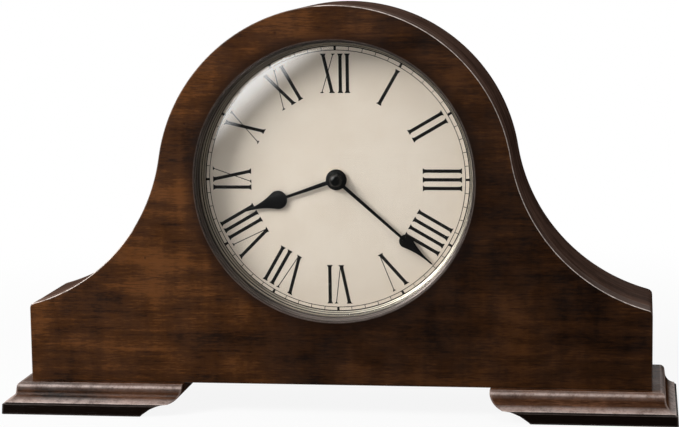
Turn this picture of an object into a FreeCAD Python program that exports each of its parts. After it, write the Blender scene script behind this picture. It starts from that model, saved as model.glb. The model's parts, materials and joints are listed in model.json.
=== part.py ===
import FreeCAD, Part
import math
import os

import Sketcher
from FreeCAD import Placement, Rotation, Vector

# A tambour mantel clock: a bent top cover over a low case with a round hump, two moulded
# bracket feet, a stepped ring with a domed glass, a dial, a battery movement and a back door.
#
# The part's own frame has X to the viewer's right, Y to the back and Z up. Its origin is on the
# ground under the middle of the clock. Case heights count from the case's flat underside, and
# depths count from the face of the front board.

SIZES = {
    # Case
    "case_width": "416",
    "case_depth": "83.4",
    "hump_radius": "118.1",
    "hump_centre_height": "133.3",
    "hump_sweep_angle": "81",
    "shoulder_slope_angle": "13.9",
    "shoulder_round": "3",
    "front_edge_round": "0.9",
    "front_board": "18",
    "cover_board": "6",
    "end_board": "6",
    "bottom_board_thickness": "8",
    "back_board": "6",
    "back_inset": "6.4",
    "fit_gap": "0.2",
    "cut_overrun": "1",
    # Glue blocks and battens
    "block_side": "12",
    "block_length": "30",
    "batten_side": "11",
    "crown_batten_width": "60",
    # Feet
    "foot_height": "20",
    "foot_overhang": "17",
    "foot_inner_reach": "102.7",
    "foot_lip_out": "6",
    "foot_lip_edge": "8.6",
    "foot_lip_drop": "3",
    "foot_face_out": "10",
    "foot_face_drop": "8",
    "foot_cove_out": "15.3",
    "foot_cove_drop": "12",
    "foot_fillet_drop": "0.7",
    "foot_fillet_slope": "0.8",
    "foot_plinth_out": "16.6",
    "foot_lip_round": "3",
    "foot_cove_round": "7",
    "foot_nose_drop": "2.4",
    "foot_nose_in": "10.6",
    "foot_nose_height": "9.8",
    "foot_nose_round": "10.8",
    "foot_ogee_in": "16.4",
    "foot_ogee_round": "26",
    # Access opening, door and hinges
    "door_width": "140",
    "door_height": "130",
    "door_drop": "65.5",
    "door_board": "3",
    "door_lap": "8",
    "door_corner": "6",
    "hinge_barrel": "2",
    "hinge_pin_radius": "0.9",
    "hinge_leaf": "0.8",
    "hinge_leaf_width": "11",
    "hinge_length": "24",
    "hinge_spread": "80",
    "hinge_play": "0.05",
    "hinge_screw_radius": "1.1",
    "hinge_screw_length": "5",
    "door_screw_length": "2.4",
    "screw_head_height": "0.7",
    "screw_head_radius": "2",
    "pull_radius": "6",
    "pull_neck": "3",
    "pull_height": "2.6",
    "pull_inset": "12",
    "magnet_radius": "3",
    "magnet_depth": "4",
    "strike_radius": "3.6",
    "strike_board": "0.6",
    # Dial, ring and glass
    "dial_raise": "2.2",
    "dial_hole_margin": "25.1",
    "dial_lap": "7",
    "dial_sheet": "1",
    "ring_clearance": "0.1",
    "ring_setback": "0.4",
    "ring_front_inset": "0.7",
    "ring_mid_inset": "1.2",
    "ring_low_inset": "1.6",
    "ring_seat_inset": "2",
    "ring_inner_inset": "2.7",
    "ring_bead": "0.8",
    "ring_first_step": "4.2",
    "ring_second_step": "8.4",
    "glass_seat_depth": "15.5",
    "glass_clearance": "0.1",
    "glass_rise": "8.8",
    "glass_sheet": "1.8",
    "gasket_sheet": "0.4",
    "dial_screw_out": "3.6",
    "dial_screw_radius": "1",
    "dial_screw_length": "9",
    "dial_bore_radius": "4.2",
    "bush_radius": "4",
    "bush_bore_radius": "2.62",
    "nut_across": "6.1",
    "nut_height": "1.1",
    "washer_sheet": "0.6",
    "washer_radius": "9",
    # Hands
    "hand_sheet": "0.6",
    "minute_hand_depth": "14.9",
    "hour_hand_depth": "16.1",
    "hour_hub_radius": "7",
    "hour_arm_half": "1.4",
    "hour_arm_tip_half": "0.95",
    "hour_spade_length": "23.9",
    "hour_spade_radius": "6.2",
    "hour_spade_flank": "46",
    "hour_hand_short": "27.5",
    "minute_hub_radius": "5.6",
    "minute_arm_half": "1.2",
    "minute_arm_tip_half": "0.9",
    "minute_spade_length": "23.6",
    "minute_spade_radius": "4.5",
    "minute_spade_flank": "54",
    "minute_hand_short": "8",
    "hand_tip_half": "0.6",
    "hand_tip_length": "1.5",
    "collet_radius": "4.6",
    "collet_height": "1.9",
    "cap_radius": "4.4",
    "cap_height": "4.1",
    # Movement case
    "movement_gap": "1.2",
    "movement_high": "33",
    "movement_depth": "26",
    "movement_wall": "1.6",
    "movement_corner": "4",
    "case_screw_radius": "1.2",
    "case_screw_length": "12",
    "case_screw_inset": "5",
    "case_boss_radius": "3.2",
    # Going train
    "cannon_module": "0.5",
    "hour_module": "0.48",
    "centre_module": "0.4",
    "third_module": "0.35",
    "seconds_module": "0.52",
    "motor_module": "0.3",
    "wheel_sheet": "1.2",
    "wheel_gap": "0.8",
    "arbor_radius": "0.7",
    "pivot_play": "0.05",
    "minute_arbor_radius": "1.4",
    "hour_tube_radius": "2.55",
    "hour_tube_bore": "1.48",
    "post_radius": "1",
    "boss_height": "1.2",
    "rotor_radius": "3.2",
    "rotor_height": "4",
    "stator_sheet": "0.8",
    "stator_gap": "0.5",
    "coil_radius": "4.5",
    "coil_length": "17",
    "coil_core": "1.8",
    "coil_flange": "5.4",
    "coil_drop": "16",
    "stator_leg": "3.5",
    "stator_post": "1.4",
    # Setting knob, switches and batteries
    "knob_radius": "7",
    "knob_height": "6",
    "knob_shaft": "1.5",
    "selector_offset": "26",
    "selector_raise": "24",
    "selector_travel": "3",
    "selector_stem": "2",
    "selector_cap_width": "5",
    "selector_cap_height": "3",
    "volume_offset": "14",
    "volume_radius": "5.5",
    "cell_radius": "7.1",
    "cell_length": "49.5",
    "cell_drop": "12.6",
    "cell_gap": "0.6",
    "contact_sheet": "0.4",
    "board_width": "28",
    "board_height": "14",
    "board_sheet": "1.2",
    "board_drop": "31",
    "can_radius": "1.4",
    "can_length": "7",
    # Speaker
    "speaker_clearance": "1",
    "speaker_radius": "30",
    "speaker_depth": "19",
    "speaker_sheet": "1",
    "speaker_surround": "27",
    "speaker_throat": "9",
    "speaker_magnet_radius": "16",
    "speaker_magnet_height": "10",
    "speaker_screw_circle": "28.5",
    "speaker_screw_radius": "0.9",
    "speaker_screw_head": "1.5",
    "speaker_screw_length": "5",
    "grille_hole": "2",
    "grille_pitch": "8",
    "lead_radius": "0.9",
    "lead_bend": "10",
    "lead_depth": "44.6",
    "lead_out": "25",
    "lead_drop": "20",
}

# Teeth of each wheel and of the pinion that it carries or meets.
TEETH = {
    "cannon_pinion": 12, "minute_wheel": 36, "minute_pinion": 10, "hour_wheel": 40,
    "setting_pinion": 12, "centre_wheel": 64, "third_pinion": 8, "third_wheel": 60, "seconds_pinion": 8,
    "seconds_wheel": 32, "intermediate_pinion": 8, "intermediate_wheel": 60, "rotor_pinion": 8,
}
# Directions from one axis of the train to the next, in degrees seen from the front.
BEARINGS = {
    "minute_wheel": 180, "setting_pinion": 150, "third_wheel": 60, "seconds_wheel": 0,
    "intermediate_wheel": -50, "rotor": -90,
}
# Clock time that the hands show, as degrees clockwise from twelve.
HOUR_HAND_TURN = 251
MINUTE_HAND_TURN = 131.4

# A tooth's width as shares of its pitch at the root, pitch and tip circles, and its height and
# depth as shares of the module.
TOOTH_ROOT_SHARE = 0.46
TOOTH_PITCH_SHARE = 0.38
TOOTH_TIP_SHARE = 0.18
TOOTH_HEIGHT_SHARE = 0.85
TOOTH_DEPTH_SHARE = 1.15
# Where blocks and screws stand, as shares of the case's half width or depth.
BLOCK_SHARES = (0.36, 0.82)
FOOT_SCREW_WIDTH_SHARES = (0.72, 0.94)
FOOT_SCREW_DEPTH_SHARES = (0.4, 0.8)
HINGE_SCREW_SHARES = (-0.3, 0.3)
# A spade's widest part lies this share of its radius past the middle of its round.
HOUR_SPADE_SHARE = 0.45
MINUTE_SPADE_SHARE = 0.36
# The domed cap on the hands: rim, height of the rim and curve as shares of its radius or height.
CAP_RIM_SHARE = 0.8
CAP_SHOULDER_SHARE = 0.3
CAP_DOME_SHARE = 1.4
# Picking edges of a board by place and direction
NEARLY_ALL_SHARE = 0.98
STRAIGHT_SHARE = 0.9
TOUCHING = 0.001

FULL_TURN = 360

doc = FreeCAD.newDocument("MantelClock")
sheet = doc.addObject("Spreadsheet::Sheet", "Sizes")
for row, (alias, amount) in enumerate(SIZES.items(), start=1):
    sheet.set(f"A{row}", alias)
    sheet.set(f"B{row}", amount)
    sheet.setAlias(f"B{row}", alias)
doc.recompute()


class Size:
    """A number of the model, kept with the spreadsheet expression that gives it."""

    def __init__(self, text, value):
        self.text = text
        self.value = value

    def __add__(self, other):
        return combine(self, "+", other, self.value + value_of(other))

    def __radd__(self, other):
        return combine(other, "+", self, value_of(other) + self.value)

    def __sub__(self, other):
        return combine(self, "-", other, self.value - value_of(other))

    def __rsub__(self, other):
        return combine(other, "-", self, value_of(other) - self.value)

    def __mul__(self, other):
        return combine(self, "*", other, self.value * value_of(other))

    def __rmul__(self, other):
        return combine(other, "*", self, value_of(other) * self.value)

    def __truediv__(self, other):
        return combine(self, "/", other, self.value / value_of(other))

    def __neg__(self):
        return 0 - self


def value_of(item):
    """The plain number of a Size or of a number."""
    return item.value if isinstance(item, Size) else item


def text_of(item):
    """The expression of a Size or of a number."""
    return item.text if isinstance(item, Size) else repr(item)


def combine(left, sign, right, value):
    """A new Size from two terms."""
    return Size(f"({text_of(left)} {sign} {text_of(right)})", value)


def sine(angle):
    """Sine of an angle in degrees."""
    return Size(f"sin({text_of(angle)})", math.sin(math.radians(value_of(angle))))


def cosine(angle):
    """Cosine of an angle in degrees."""
    return Size(f"cos({text_of(angle)})", math.cos(math.radians(value_of(angle))))


def root(item):
    """Square root."""
    return Size(f"sqrt({text_of(item)})", math.sqrt(value_of(item)))


class Dimensions:
    """Every alias of the sheet as a Size, read as an attribute."""

    def __getattr__(self, alias):
        return Size(f"Sizes.{alias}", float(sheet.get(alias)))


dim = Dimensions()

# Places that several pieces share
half_width = dim.case_width / 2
front_y = (dim.foot_overhang - dim.case_depth) / 2
case_z = dim.foot_height
back_face = dim.case_depth - dim.back_inset
back_front = back_face - dim.back_board
dial_height = dim.hump_centre_height + dim.dial_raise
dial_z = case_z + dial_height
dial_hole_radius = dim.hump_radius - dim.dial_hole_margin
door_low = dial_height - dim.door_drop
concave_radius = ((half_width - dim.hump_radius * sine(dim.hump_sweep_angle))
                  / (sine(dim.hump_sweep_angle) - sine(dim.shoulder_slope_angle)))
concave_x = (dim.hump_radius + concave_radius) * sine(dim.hump_sweep_angle)
concave_z = dim.hump_centre_height + (dim.hump_radius + concave_radius) * cosine(dim.hump_sweep_angle)
bodies = {}


def keep(label, obj):
    """Records a finished sub-part under its own name."""
    obj.Label = label
    bodies[label] = obj
    return obj


def locate(obj, place):
    """Binds an object's position to three sizes."""
    for axis, amount in zip("xyz", place):
        obj.setExpression(f"Placement.Base.{axis}", text_of(amount))
    return obj


def origin_plane(body, role):
    """One of a body's own origin planes."""
    return [item for item in body.Origin.OriginFeatures if item.Role == role][0]


def new_sketch(body, plane):
    """An empty sketch on one of the body's origin planes."""
    sketch = body.newObject("Sketcher::SketchObject", "Sketch")
    sketch.AttachmentSupport = [(origin_plane(body, plane), "")]
    sketch.MapMode = "FlatFace"
    return sketch


def constrain(sketch, kind, geometry, position, size):
    """Binds one coordinate of a sketch point to a size."""
    number = sketch.addConstraint(Sketcher.Constraint(kind, -1, 1, geometry, position, value_of(size)))
    sketch.setExpression(f"Constraints[{number}]", text_of(size))


def arc_centre(start, end, radius, side):
    """Centre of the arc of under a half turn, to the left of the chord when side is 1."""
    chord = end - start
    middle = (start + end) * 0.5
    left = Vector(-chord.y, chord.x, 0) / chord.Length
    rise = math.sqrt(max(radius * radius - chord.Length * chord.Length / 4, 0))
    return middle + left * (rise * side)


def draw_edges(sketch, points, arcs, closed):
    """Draws lines and arcs through points and returns each edge with its end positions."""
    corners = [Vector(value_of(x), value_of(y), 0) for x, y in points]
    ends = []
    for index in range(len(corners) if closed else len(corners) - 1):
        start = corners[index]
        end = corners[(index + 1) % len(corners)]
        if index not in arcs:
            ends.append((sketch.addGeometry(Part.LineSegment(start, end), False), 1, 2))
            continue
        radius, side = arcs[index]
        centre = arc_centre(start, end, value_of(radius), side)
        first, last = (start, end) if side > 0 else (end, start)
        circle = Part.Circle(centre, Vector(0, 0, 1), value_of(radius))
        turn = [math.atan2(p.y - centre.y, p.x - centre.x) for p in (first, last)]
        number = sketch.addGeometry(Part.ArcOfCircle(circle, turn[0], turn[1]), False)
        ends.append((number, 1, 2) if side > 0 else (number, 2, 1))
    return ends


def bind_edges(sketch, points, arcs, ends):
    """Joins the edges end to end and binds their points and radii to sizes."""
    closed = len(ends) == len(points)
    for index, (number, _, last) in enumerate(ends[:None if closed else -1]):
        following = ends[(index + 1) % len(ends)]
        sketch.addConstraint(Sketcher.Constraint("Coincident", number, last, following[0], following[1]))
    places = [(number, first) for number, first, _ in ends]
    if not closed:
        places.append((ends[-1][0], ends[-1][2]))
    for (number, position), (x, y) in zip(places, points):
        constrain(sketch, "DistanceX", number, position, x)
        constrain(sketch, "DistanceY", number, position, y)
    for index, (radius, _) in arcs.items():
        name = sketch.addConstraint(Sketcher.Constraint("Radius", ends[index][0], value_of(radius)))
        sketch.setExpression(f"Constraints[{name}]", text_of(radius))
    return sketch


def draw_profile(sketch, points, arcs=None):
    """Draws a closed outline; arcs maps an edge's number to its radius and side."""
    arcs = arcs or {}
    return bind_edges(sketch, points, arcs, draw_edges(sketch, points, arcs, True))


def draw_path(sketch, points, arcs):
    """Draws an open path of lines and arcs."""
    return bind_edges(sketch, points, arcs, draw_edges(sketch, points, arcs, False))


def draw_circle(sketch, x, y, radius):
    """Draws one bound circle."""
    circle = Part.Circle(Vector(value_of(x), value_of(y), 0), Vector(0, 0, 1), value_of(radius))
    number = sketch.addGeometry(circle, False)
    constrain(sketch, "DistanceX", number, 3, x)
    constrain(sketch, "DistanceY", number, 3, y)
    name = sketch.addConstraint(Sketcher.Constraint("Radius", number, value_of(radius)))
    sketch.setExpression(f"Constraints[{name}]", text_of(radius))
    return sketch


def padded(points, length, place, arcs=None, plane="XZ_Plane"):
    """A body whose outline is pushed along +Y (or +X, +Z) from its place."""
    body = doc.addObject("PartDesign::Body", "Body")
    sketch = draw_profile(new_sketch(body, plane), points, arcs)
    pad = body.newObject("PartDesign::Pad", "Pad")
    pad.Profile = sketch
    pad.Reversed = plane == "XZ_Plane"
    pad.setExpression("Length", text_of(length))
    return locate(body, place)


def turned(section, place, along="Y", arcs=None):
    """A body turned about its own axis from points of (radius, distance along the axis)."""
    body = doc.addObject("PartDesign::Body", "Body")
    if along == "X":
        points = [(far, radius) for radius, far in section]
        sketch = draw_profile(new_sketch(body, "XY_Plane"), points, arcs)
    else:
        plane = "XY_Plane" if along == "Y" else "XZ_Plane"
        sketch = draw_profile(new_sketch(body, plane), section, arcs)
    spin = body.newObject("PartDesign::Revolution", "Revolution")
    spin.Profile = sketch
    spin.ReferenceAxis = (sketch, ["H_Axis" if along == "X" else "V_Axis"])
    spin.Angle = FULL_TURN
    return locate(body, place)


def disc(radius, length, place, along="Y"):
    """A plain turned disc or rod."""
    return turned([(0, 0), (radius, 0), (radius, length), (0, length)], place, along)


def tube(bore, radius, length, place, along="Y"):
    """A plain turned tube or washer."""
    return turned([(bore, 0), (radius, 0), (radius, length), (bore, length)], place, along)


def screw(head, head_height, shank, length, place):
    """A countersunk screw that points forwards (-Y), its head's face at the place."""
    section = [(0, 0), (head, 0), (shank, -head_height), (shank, -length), (0, -(length + shank))]
    return turned(section, place)


def slab(width, depth, height, place):
    """A plain board, from its lowest corner."""
    box = doc.addObject("Part::Box", "Box")
    for name, amount in (("Length", width), ("Width", depth), ("Height", height)):
        box.setExpression(name, text_of(amount))
    return locate(box, place)


def cut(base, *tools):
    """The base with the tools cut away."""
    doc.recompute()
    before = base.Shape.Volume
    tool = tools[0]
    if len(tools) > 1:
        tool = doc.addObject("Part::Compound", "Tools")
        tool.Links = list(tools)
    result = doc.addObject("Part::Cut", "Cut")
    result.Base = base
    result.Tool = tool
    doc.recompute()
    if not result.Shape.Volume < before:
        raise RuntimeError(f"nothing was cut from {base.Label}")
    return result


def joined(*pieces):
    """Pieces fused into one solid."""
    result = doc.addObject("Part::MultiFuse", "Fuse")
    result.Shapes = list(pieces)
    return result


def group(*pieces):
    """Separate solids that share one node."""
    result = doc.addObject("Part::Compound", "Group")
    result.Links = list(pieces)
    return result


def shared(first, second):
    """The space that two pieces have in common."""
    result = doc.addObject("Part::Common", "Common")
    result.Base = first
    result.Tool = second
    return result


def round_edges(body, radius, wanted):
    """Rounds the edges of a PartDesign body that a test picks."""
    doc.recompute()
    tip = body.Tip
    names = [f"Edge{n}" for n, edge in enumerate(tip.Shape.Edges, start=1) if wanted(edge)]
    if not names:
        raise RuntimeError("no edge to round")
    fillet = body.newObject("PartDesign::Fillet", "Fillet")
    fillet.Base = (tip, names)
    fillet.setExpression("Radius", text_of(radius))
    doc.recompute()
    return body


def outline(inset, side, low=0):
    """The case's outline drawn in by an inset, with its arcs: two concave flanks and the hump."""
    hump = dim.hump_radius - inset
    flank = concave_radius + inset
    end_z = concave_z - root(flank * flank - (concave_x - side) * (concave_x - side))
    meet_x = hump * sine(dim.hump_sweep_angle)
    meet_z = dim.hump_centre_height + hump * cosine(dim.hump_sweep_angle)
    points = [(-side, low), (side, low), (side, end_z), (meet_x, meet_z), (-meet_x, meet_z), (-side, end_z)]
    return points, {2: (flank, -1), 3: (hump, 1), 4: (flank, -1)}


def case_place(x=0, depth=0, height=0):
    """A place counted from the case's underside and from the face of the front board."""
    return (x, front_y + depth, case_z + height)


def dial_place(depth, x=0, rise=0):
    """A place counted from the dial's axis and from the face of the front board."""
    return (x, front_y + depth, dial_z + rise)


def along_y(edge):
    """True for a straight edge that runs from front to back."""
    if edge.Curve.TypeId != "Part::GeomLine":
        return False
    start, end = [vertex.Point for vertex in edge.Vertexes]
    step = end - start
    return abs(step.y) > STRAIGHT_SHARE * step.Length


def shoulder_corner(edge):
    """True for an edge along Y at the outer end of a shoulder."""
    place = edge.CenterOfMass
    outside = abs(place.x) > half_width.value * NEARLY_ALL_SHARE
    return along_y(edge) and outside and place.z > dim.cover_board.value


def front_rim(edge):
    """True for an edge that lies in the front face, above the underside."""
    box = edge.BoundBox
    flat = abs(box.YMin) < TOUCHING and abs(box.YMax) < TOUCHING
    return flat and box.ZMax > dim.cover_board.value


# Case boards
points, arcs = outline(0, half_width)
front_panel = padded(points, dim.front_board, case_place(), arcs)
round_edges(front_panel, dim.shoulder_round, shoulder_corner)
round_edges(front_panel, dim.front_edge_round, front_rim)
dial_hole_sketch = new_sketch(front_panel, "XZ_Plane")
draw_circle(dial_hole_sketch, 0, dial_height, dial_hole_radius)
dial_hole = front_panel.newObject("PartDesign::Pocket", "DialHole")
dial_hole.Profile = dial_hole_sketch
dial_hole.Midplane = True
dial_hole.setExpression("Length", text_of((dim.front_board + dim.cut_overrun) * 2))
keep("front_panel", front_panel)

cover_depth = dim.case_depth - dim.front_board
outer_points, outer_arcs = outline(0, half_width)
inner_points, inner_arcs = outline(dim.cover_board, half_width)
strip = [outer_points[5], inner_points[5], inner_points[4], inner_points[3], inner_points[2],
         outer_points[2], outer_points[3], outer_points[4]]
strip_arcs = {1: (concave_radius + dim.cover_board, 1), 2: (dim.hump_radius - dim.cover_board, -1),
              3: (concave_radius + dim.cover_board, 1), 5: (concave_radius, -1),
              6: (dim.hump_radius, 1), 7: (concave_radius, -1)}
top_cover = padded(strip, cover_depth, case_place(depth=dim.front_board), strip_arcs)


def cover_corner(edge):
    """True for the cover's upper outer corner edges."""
    place = edge.CenterOfMass
    low = outer_points[2][1].value - dim.cover_board.value / 2
    outside = abs(place.x) > half_width.value * NEARLY_ALL_SHARE
    return along_y(edge) and outside and place.z > low


round_edges(top_cover, dim.shoulder_round, cover_corner)
keep("top_cover", top_cover)

flank = concave_radius + dim.cover_board
end_inner_x = half_width - dim.end_board


def flank_height(x):
    """Height of the cover's inner face over a shoulder at a distance from the middle."""
    return concave_z - root(flank * flank - (concave_x - x) * (concave_x - x))


for label, side in (("left_end_board", -1), ("right_end_board", 1)):
    end_points = [(side * end_inner_x, 0), (side * half_width, 0),
                  (side * half_width, flank_height(half_width)),
                  (side * end_inner_x, flank_height(end_inner_x))]
    end_arcs = {2: (flank, -side)}
    keep(label, padded(end_points, cover_depth, case_place(depth=dim.front_board), end_arcs))

keep("bottom_board", slab(end_inner_x * 2, cover_depth, dim.bottom_board_thickness,
                          case_place(-end_inner_x, dim.front_board)))

# The speaker stands above the battens and as far out as the cover's inner face lets it
speaker_height = (dim.bottom_board_thickness + dim.batten_side + dim.speaker_clearance
                  + dim.speaker_radius)
speaker_reach = flank + dim.speaker_radius + dim.speaker_clearance
speaker_fall = concave_z - speaker_height
speaker_x = root(speaker_reach * speaker_reach - speaker_fall * speaker_fall) - concave_x

# Back panel with its access opening and the sound holes
points, arcs = outline(dim.cover_board + dim.fit_gap, end_inner_x - dim.fit_gap,
                       dim.bottom_board_thickness + dim.fit_gap)
back_blank = padded(points, dim.back_board, case_place(depth=back_front), arcs)
opening_half = dim.door_width / 2 - dim.door_lap
opening = slab(opening_half * 2, dim.back_board + dim.cut_overrun * 2, dim.door_height - dim.door_lap * 2,
               case_place(-opening_half, back_front - dim.cut_overrun, door_low + dim.door_lap))
grille_places = [(0, 0)]
for ring, count in ((1, 6), (2, 12)):
    for step in range(count):
        turn = FULL_TURN * step / count
        grille_places.append((dim.grille_pitch * ring * cosine(turn), dim.grille_pitch * ring * sine(turn)))
sound_holes = [disc(dim.grille_hole, dim.back_board + dim.cut_overrun * 2,
                    case_place(x + speaker_x, back_front - dim.cut_overrun, speaker_height + z))
               for x, z in grille_places]
magnet_x = opening_half + dim.door_lap / 2
magnet_z = door_low + dim.door_height / 2
magnet_seat = disc(dim.magnet_radius, dim.magnet_depth + dim.cut_overrun,
                   case_place(magnet_x, back_face - dim.magnet_depth, magnet_z))
keep("back_panel", cut(back_blank, opening, magnet_seat, *sound_holes))
keep("catch_magnet", disc(dim.magnet_radius, dim.magnet_depth,
                          case_place(magnet_x, back_face - dim.magnet_depth, magnet_z)))

# Glue blocks behind the front board, battens for the back panel and their screws
block_places = [side * half_width * share for share in BLOCK_SHARES for side in (-1, 1)]
keep("glue_blocks", group(*[
    slab(dim.block_length, dim.block_side, dim.block_side,
         case_place(x - dim.block_length / 2, dim.front_board, dim.bottom_board_thickness))
    for x in block_places]))
batten_y = back_front - dim.batten_side
lower_battens = [slab(dim.block_length, dim.batten_side, dim.batten_side,
                      case_place(x - dim.block_length / 2, batten_y, dim.bottom_board_thickness))
                 for x in block_places]
crown_radius = dim.hump_radius - dim.cover_board
crown_half = dim.crown_batten_width / 2
crown_top = dim.hump_centre_height + root(crown_radius * crown_radius - crown_half * crown_half)
crown_low = crown_top - dim.batten_side
crown_batten = padded([(-crown_half, crown_low), (crown_half, crown_low), (crown_half, crown_top),
                       (-crown_half, crown_top)], dim.batten_side, case_place(depth=batten_y),
                      {2: (crown_radius, 1)})
keep("back_battens", group(crown_batten, *lower_battens))
batten_middle = dim.bottom_board_thickness + dim.batten_side / 2
back_screw_places = [(x, batten_middle) for x in block_places]
back_screw_places += [(side * crown_half / 2, crown_low + dim.batten_side / 2) for side in (-1, 1)]


def back_screws(places):
    """Round-headed screws on the back panel's rear face, driven forwards."""
    return [screw(dim.screw_head_radius, dim.screw_head_height, dim.hinge_screw_radius,
                  dim.back_board + dim.hinge_screw_length,
                  case_place(x, back_face + dim.screw_head_height, z)) for x, z in places]


keep("back_panel_screws", group(*back_screws(back_screw_places)))

# Feet: a front and end moulding mitred together, open between them, with an ogee inner end
foot_profile = [(0, 0), (-dim.foot_lip_out, 0), (-dim.foot_lip_edge, -dim.foot_lip_drop),
                (-dim.foot_face_out, -dim.foot_face_drop), (-dim.foot_cove_out, -dim.foot_cove_drop),
                (-dim.foot_cove_out, -(dim.foot_cove_drop + dim.foot_fillet_drop)),
                (-dim.foot_plinth_out, -(dim.foot_cove_drop + dim.foot_fillet_drop + dim.foot_fillet_slope)),
                (-dim.foot_overhang, -dim.foot_height)]
front_section = foot_profile + [(dim.case_depth, -dim.foot_height), (dim.case_depth, 0)]
section_arcs = {1: (dim.foot_lip_round, 1), 3: (dim.foot_cove_round, -1)}
nose_x = dim.foot_inner_reach + dim.foot_nose_in
nose_z = -(dim.foot_nose_drop + dim.foot_nose_height)
foot_reach = half_width + dim.foot_overhang + dim.cut_overrun
for label, side in (("left_foot", -1), ("right_foot", 1)):
    front_view = [(side * dim.foot_inner_reach, -dim.foot_nose_drop), (side * nose_x, nose_z),
                  (side * (nose_x + dim.foot_ogee_in), -dim.foot_height)]
    front_view += [(side * (half_width - x), z) for x, z in reversed(foot_profile[1:])]
    front_view += [(side * dim.foot_inner_reach, 0)]
    view_arcs = {0: (dim.foot_nose_round, side), 1: (dim.foot_ogee_round, -side),
                 6: (dim.foot_cove_round, -side), 8: (dim.foot_lip_round, side)}
    end_view = padded(front_view, dim.case_depth + dim.foot_overhang, case_place(depth=-dim.foot_overhang),
                      view_arcs)
    run = padded(front_section, foot_reach, case_place(x=-foot_reach if side < 0 else 0), section_arcs,
                 "YZ_Plane")
    keep(label, shared(end_view, run))
foot_screw_places = [(side * half_width * x_share, dim.case_depth * y_share)
                     for x_share in FOOT_SCREW_WIDTH_SHARES for y_share in FOOT_SCREW_DEPTH_SHARES
                     for side in (-1, 1)]
foot_screw_length = dim.bottom_board_thickness + dim.foot_height / 2
keep("foot_screws", group(*[
    turned([(0, 0), (dim.screw_head_radius, 0), (dim.screw_head_radius, -dim.screw_head_height),
            (dim.hinge_screw_radius, -dim.screw_head_height), (dim.hinge_screw_radius, -foot_screw_length),
            (0, -(foot_screw_length + dim.hinge_screw_radius))],
           case_place(x, y, dim.bottom_board_thickness + dim.screw_head_height), "Z")
    for x, y in foot_screw_places]))

# Door, its hinges, pull and strike plate
door_depth = back_face + dim.fit_gap
hinge_x = -(dim.door_width / 2 + dim.hinge_barrel + dim.fit_gap)
hinge_y = back_face + dim.hinge_barrel
door_rear = door_depth + dim.door_board
door_blank = padded([(-dim.door_width / 2, 0), (dim.door_width / 2, 0),
                     (dim.door_width / 2, dim.door_height), (-dim.door_width / 2, dim.door_height)],
                    dim.door_board, case_place(depth=door_depth, height=door_low))
round_edges(door_blank, dim.door_corner, along_y)
strike_seat = disc(dim.strike_radius, dim.strike_board + dim.cut_overrun,
                   case_place(magnet_x, door_depth - dim.cut_overrun, magnet_z))
keep("back_door", cut(door_blank, strike_seat))
keep("strike_plate", disc(dim.strike_radius, dim.strike_board, case_place(magnet_x, door_depth, magnet_z)))
pull_middle = dim.pull_height / 2
pull_section = [(0, 0), (dim.pull_neck, 0), (dim.pull_neck, pull_middle), (dim.pull_radius, pull_middle),
                (dim.pull_radius, dim.pull_height), (0, dim.pull_height)]
pull_x = dim.door_width / 2 - dim.pull_inset
keep("door_pull", turned(pull_section, case_place(pull_x, door_rear, magnet_z)))
knuckle = (dim.hinge_length - dim.fit_gap * 2) / 3
leaf_reach = dim.hinge_leaf_width + dim.hinge_barrel
leaf_rear = dim.hinge_barrel * 2 - dim.hinge_leaf
hinge_heights = [magnet_z - dim.hinge_spread / 2, magnet_z + dim.hinge_spread / 2]
leaf_middle = dim.hinge_barrel + dim.hinge_leaf_width / 2
hinge_screw_heights = [middle + share * dim.hinge_length
                       for middle in hinge_heights for share in HINGE_SCREW_SHARES]


def leaf_screws(side, face, length):
    """Countersunk screws through the leaves on one side of the hinge line."""
    return [screw(dim.screw_head_radius, dim.screw_head_height, dim.hinge_screw_radius, length,
                  case_place(hinge_x + side * leaf_middle, face, z)) for z in hinge_screw_heights]


case_leaves = []
door_leaves = []
hinge_pins = []
for middle in hinge_heights:
    low = middle - dim.hinge_length / 2
    case_pieces = [slab(leaf_reach, dim.hinge_leaf, dim.hinge_length,
                        case_place(hinge_x - leaf_reach, back_face, low))]
    for start in (low, low + (knuckle + dim.fit_gap) * 2):
        case_pieces.append(disc(dim.hinge_barrel, knuckle, case_place(hinge_x, hinge_y, start), "Z"))
    case_bore = disc(dim.hinge_pin_radius, dim.hinge_length, case_place(hinge_x, hinge_y, low), "Z")
    swing = slab(dim.hinge_barrel * 2 + dim.fit_gap, dim.hinge_barrel * 2 + dim.fit_gap,
                 knuckle + dim.fit_gap * 2,
                 case_place(hinge_x - dim.hinge_barrel - dim.fit_gap, back_face - dim.fit_gap / 2,
                            low + knuckle))
    case_leaves.append(cut(joined(*case_pieces), case_bore, swing))
    knuckle_low = low + knuckle + dim.fit_gap
    door_pieces = [slab(leaf_reach, dim.hinge_leaf, dim.hinge_length,
                        case_place(hinge_x, back_face + leaf_rear, low)),
                   disc(dim.hinge_barrel, knuckle, case_place(hinge_x, hinge_y, knuckle_low), "Z")]
    door_bore = disc(dim.hinge_pin_radius + dim.hinge_play, dim.hinge_length,
                     case_place(hinge_x, hinge_y, low), "Z")
    clear_ends = [disc(dim.hinge_barrel + dim.fit_gap, knuckle + dim.fit_gap,
                       case_place(hinge_x, hinge_y, start), "Z")
                  for start in (low - dim.fit_gap / 2, low + knuckle * 2 + dim.fit_gap)]
    door_leaves.append(cut(joined(*door_pieces), door_bore, *clear_ends))
    hinge_pins.append(disc(dim.hinge_pin_radius, dim.hinge_length, case_place(hinge_x, hinge_y, low), "Z"))
case_leaf_face = back_face + dim.hinge_leaf
door_leaf_face = back_face + dim.hinge_barrel * 2
case_screws = leaf_screws(-1, case_leaf_face, dim.hinge_screw_length)
door_screws = leaf_screws(1, door_leaf_face, dim.door_screw_length)
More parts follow.
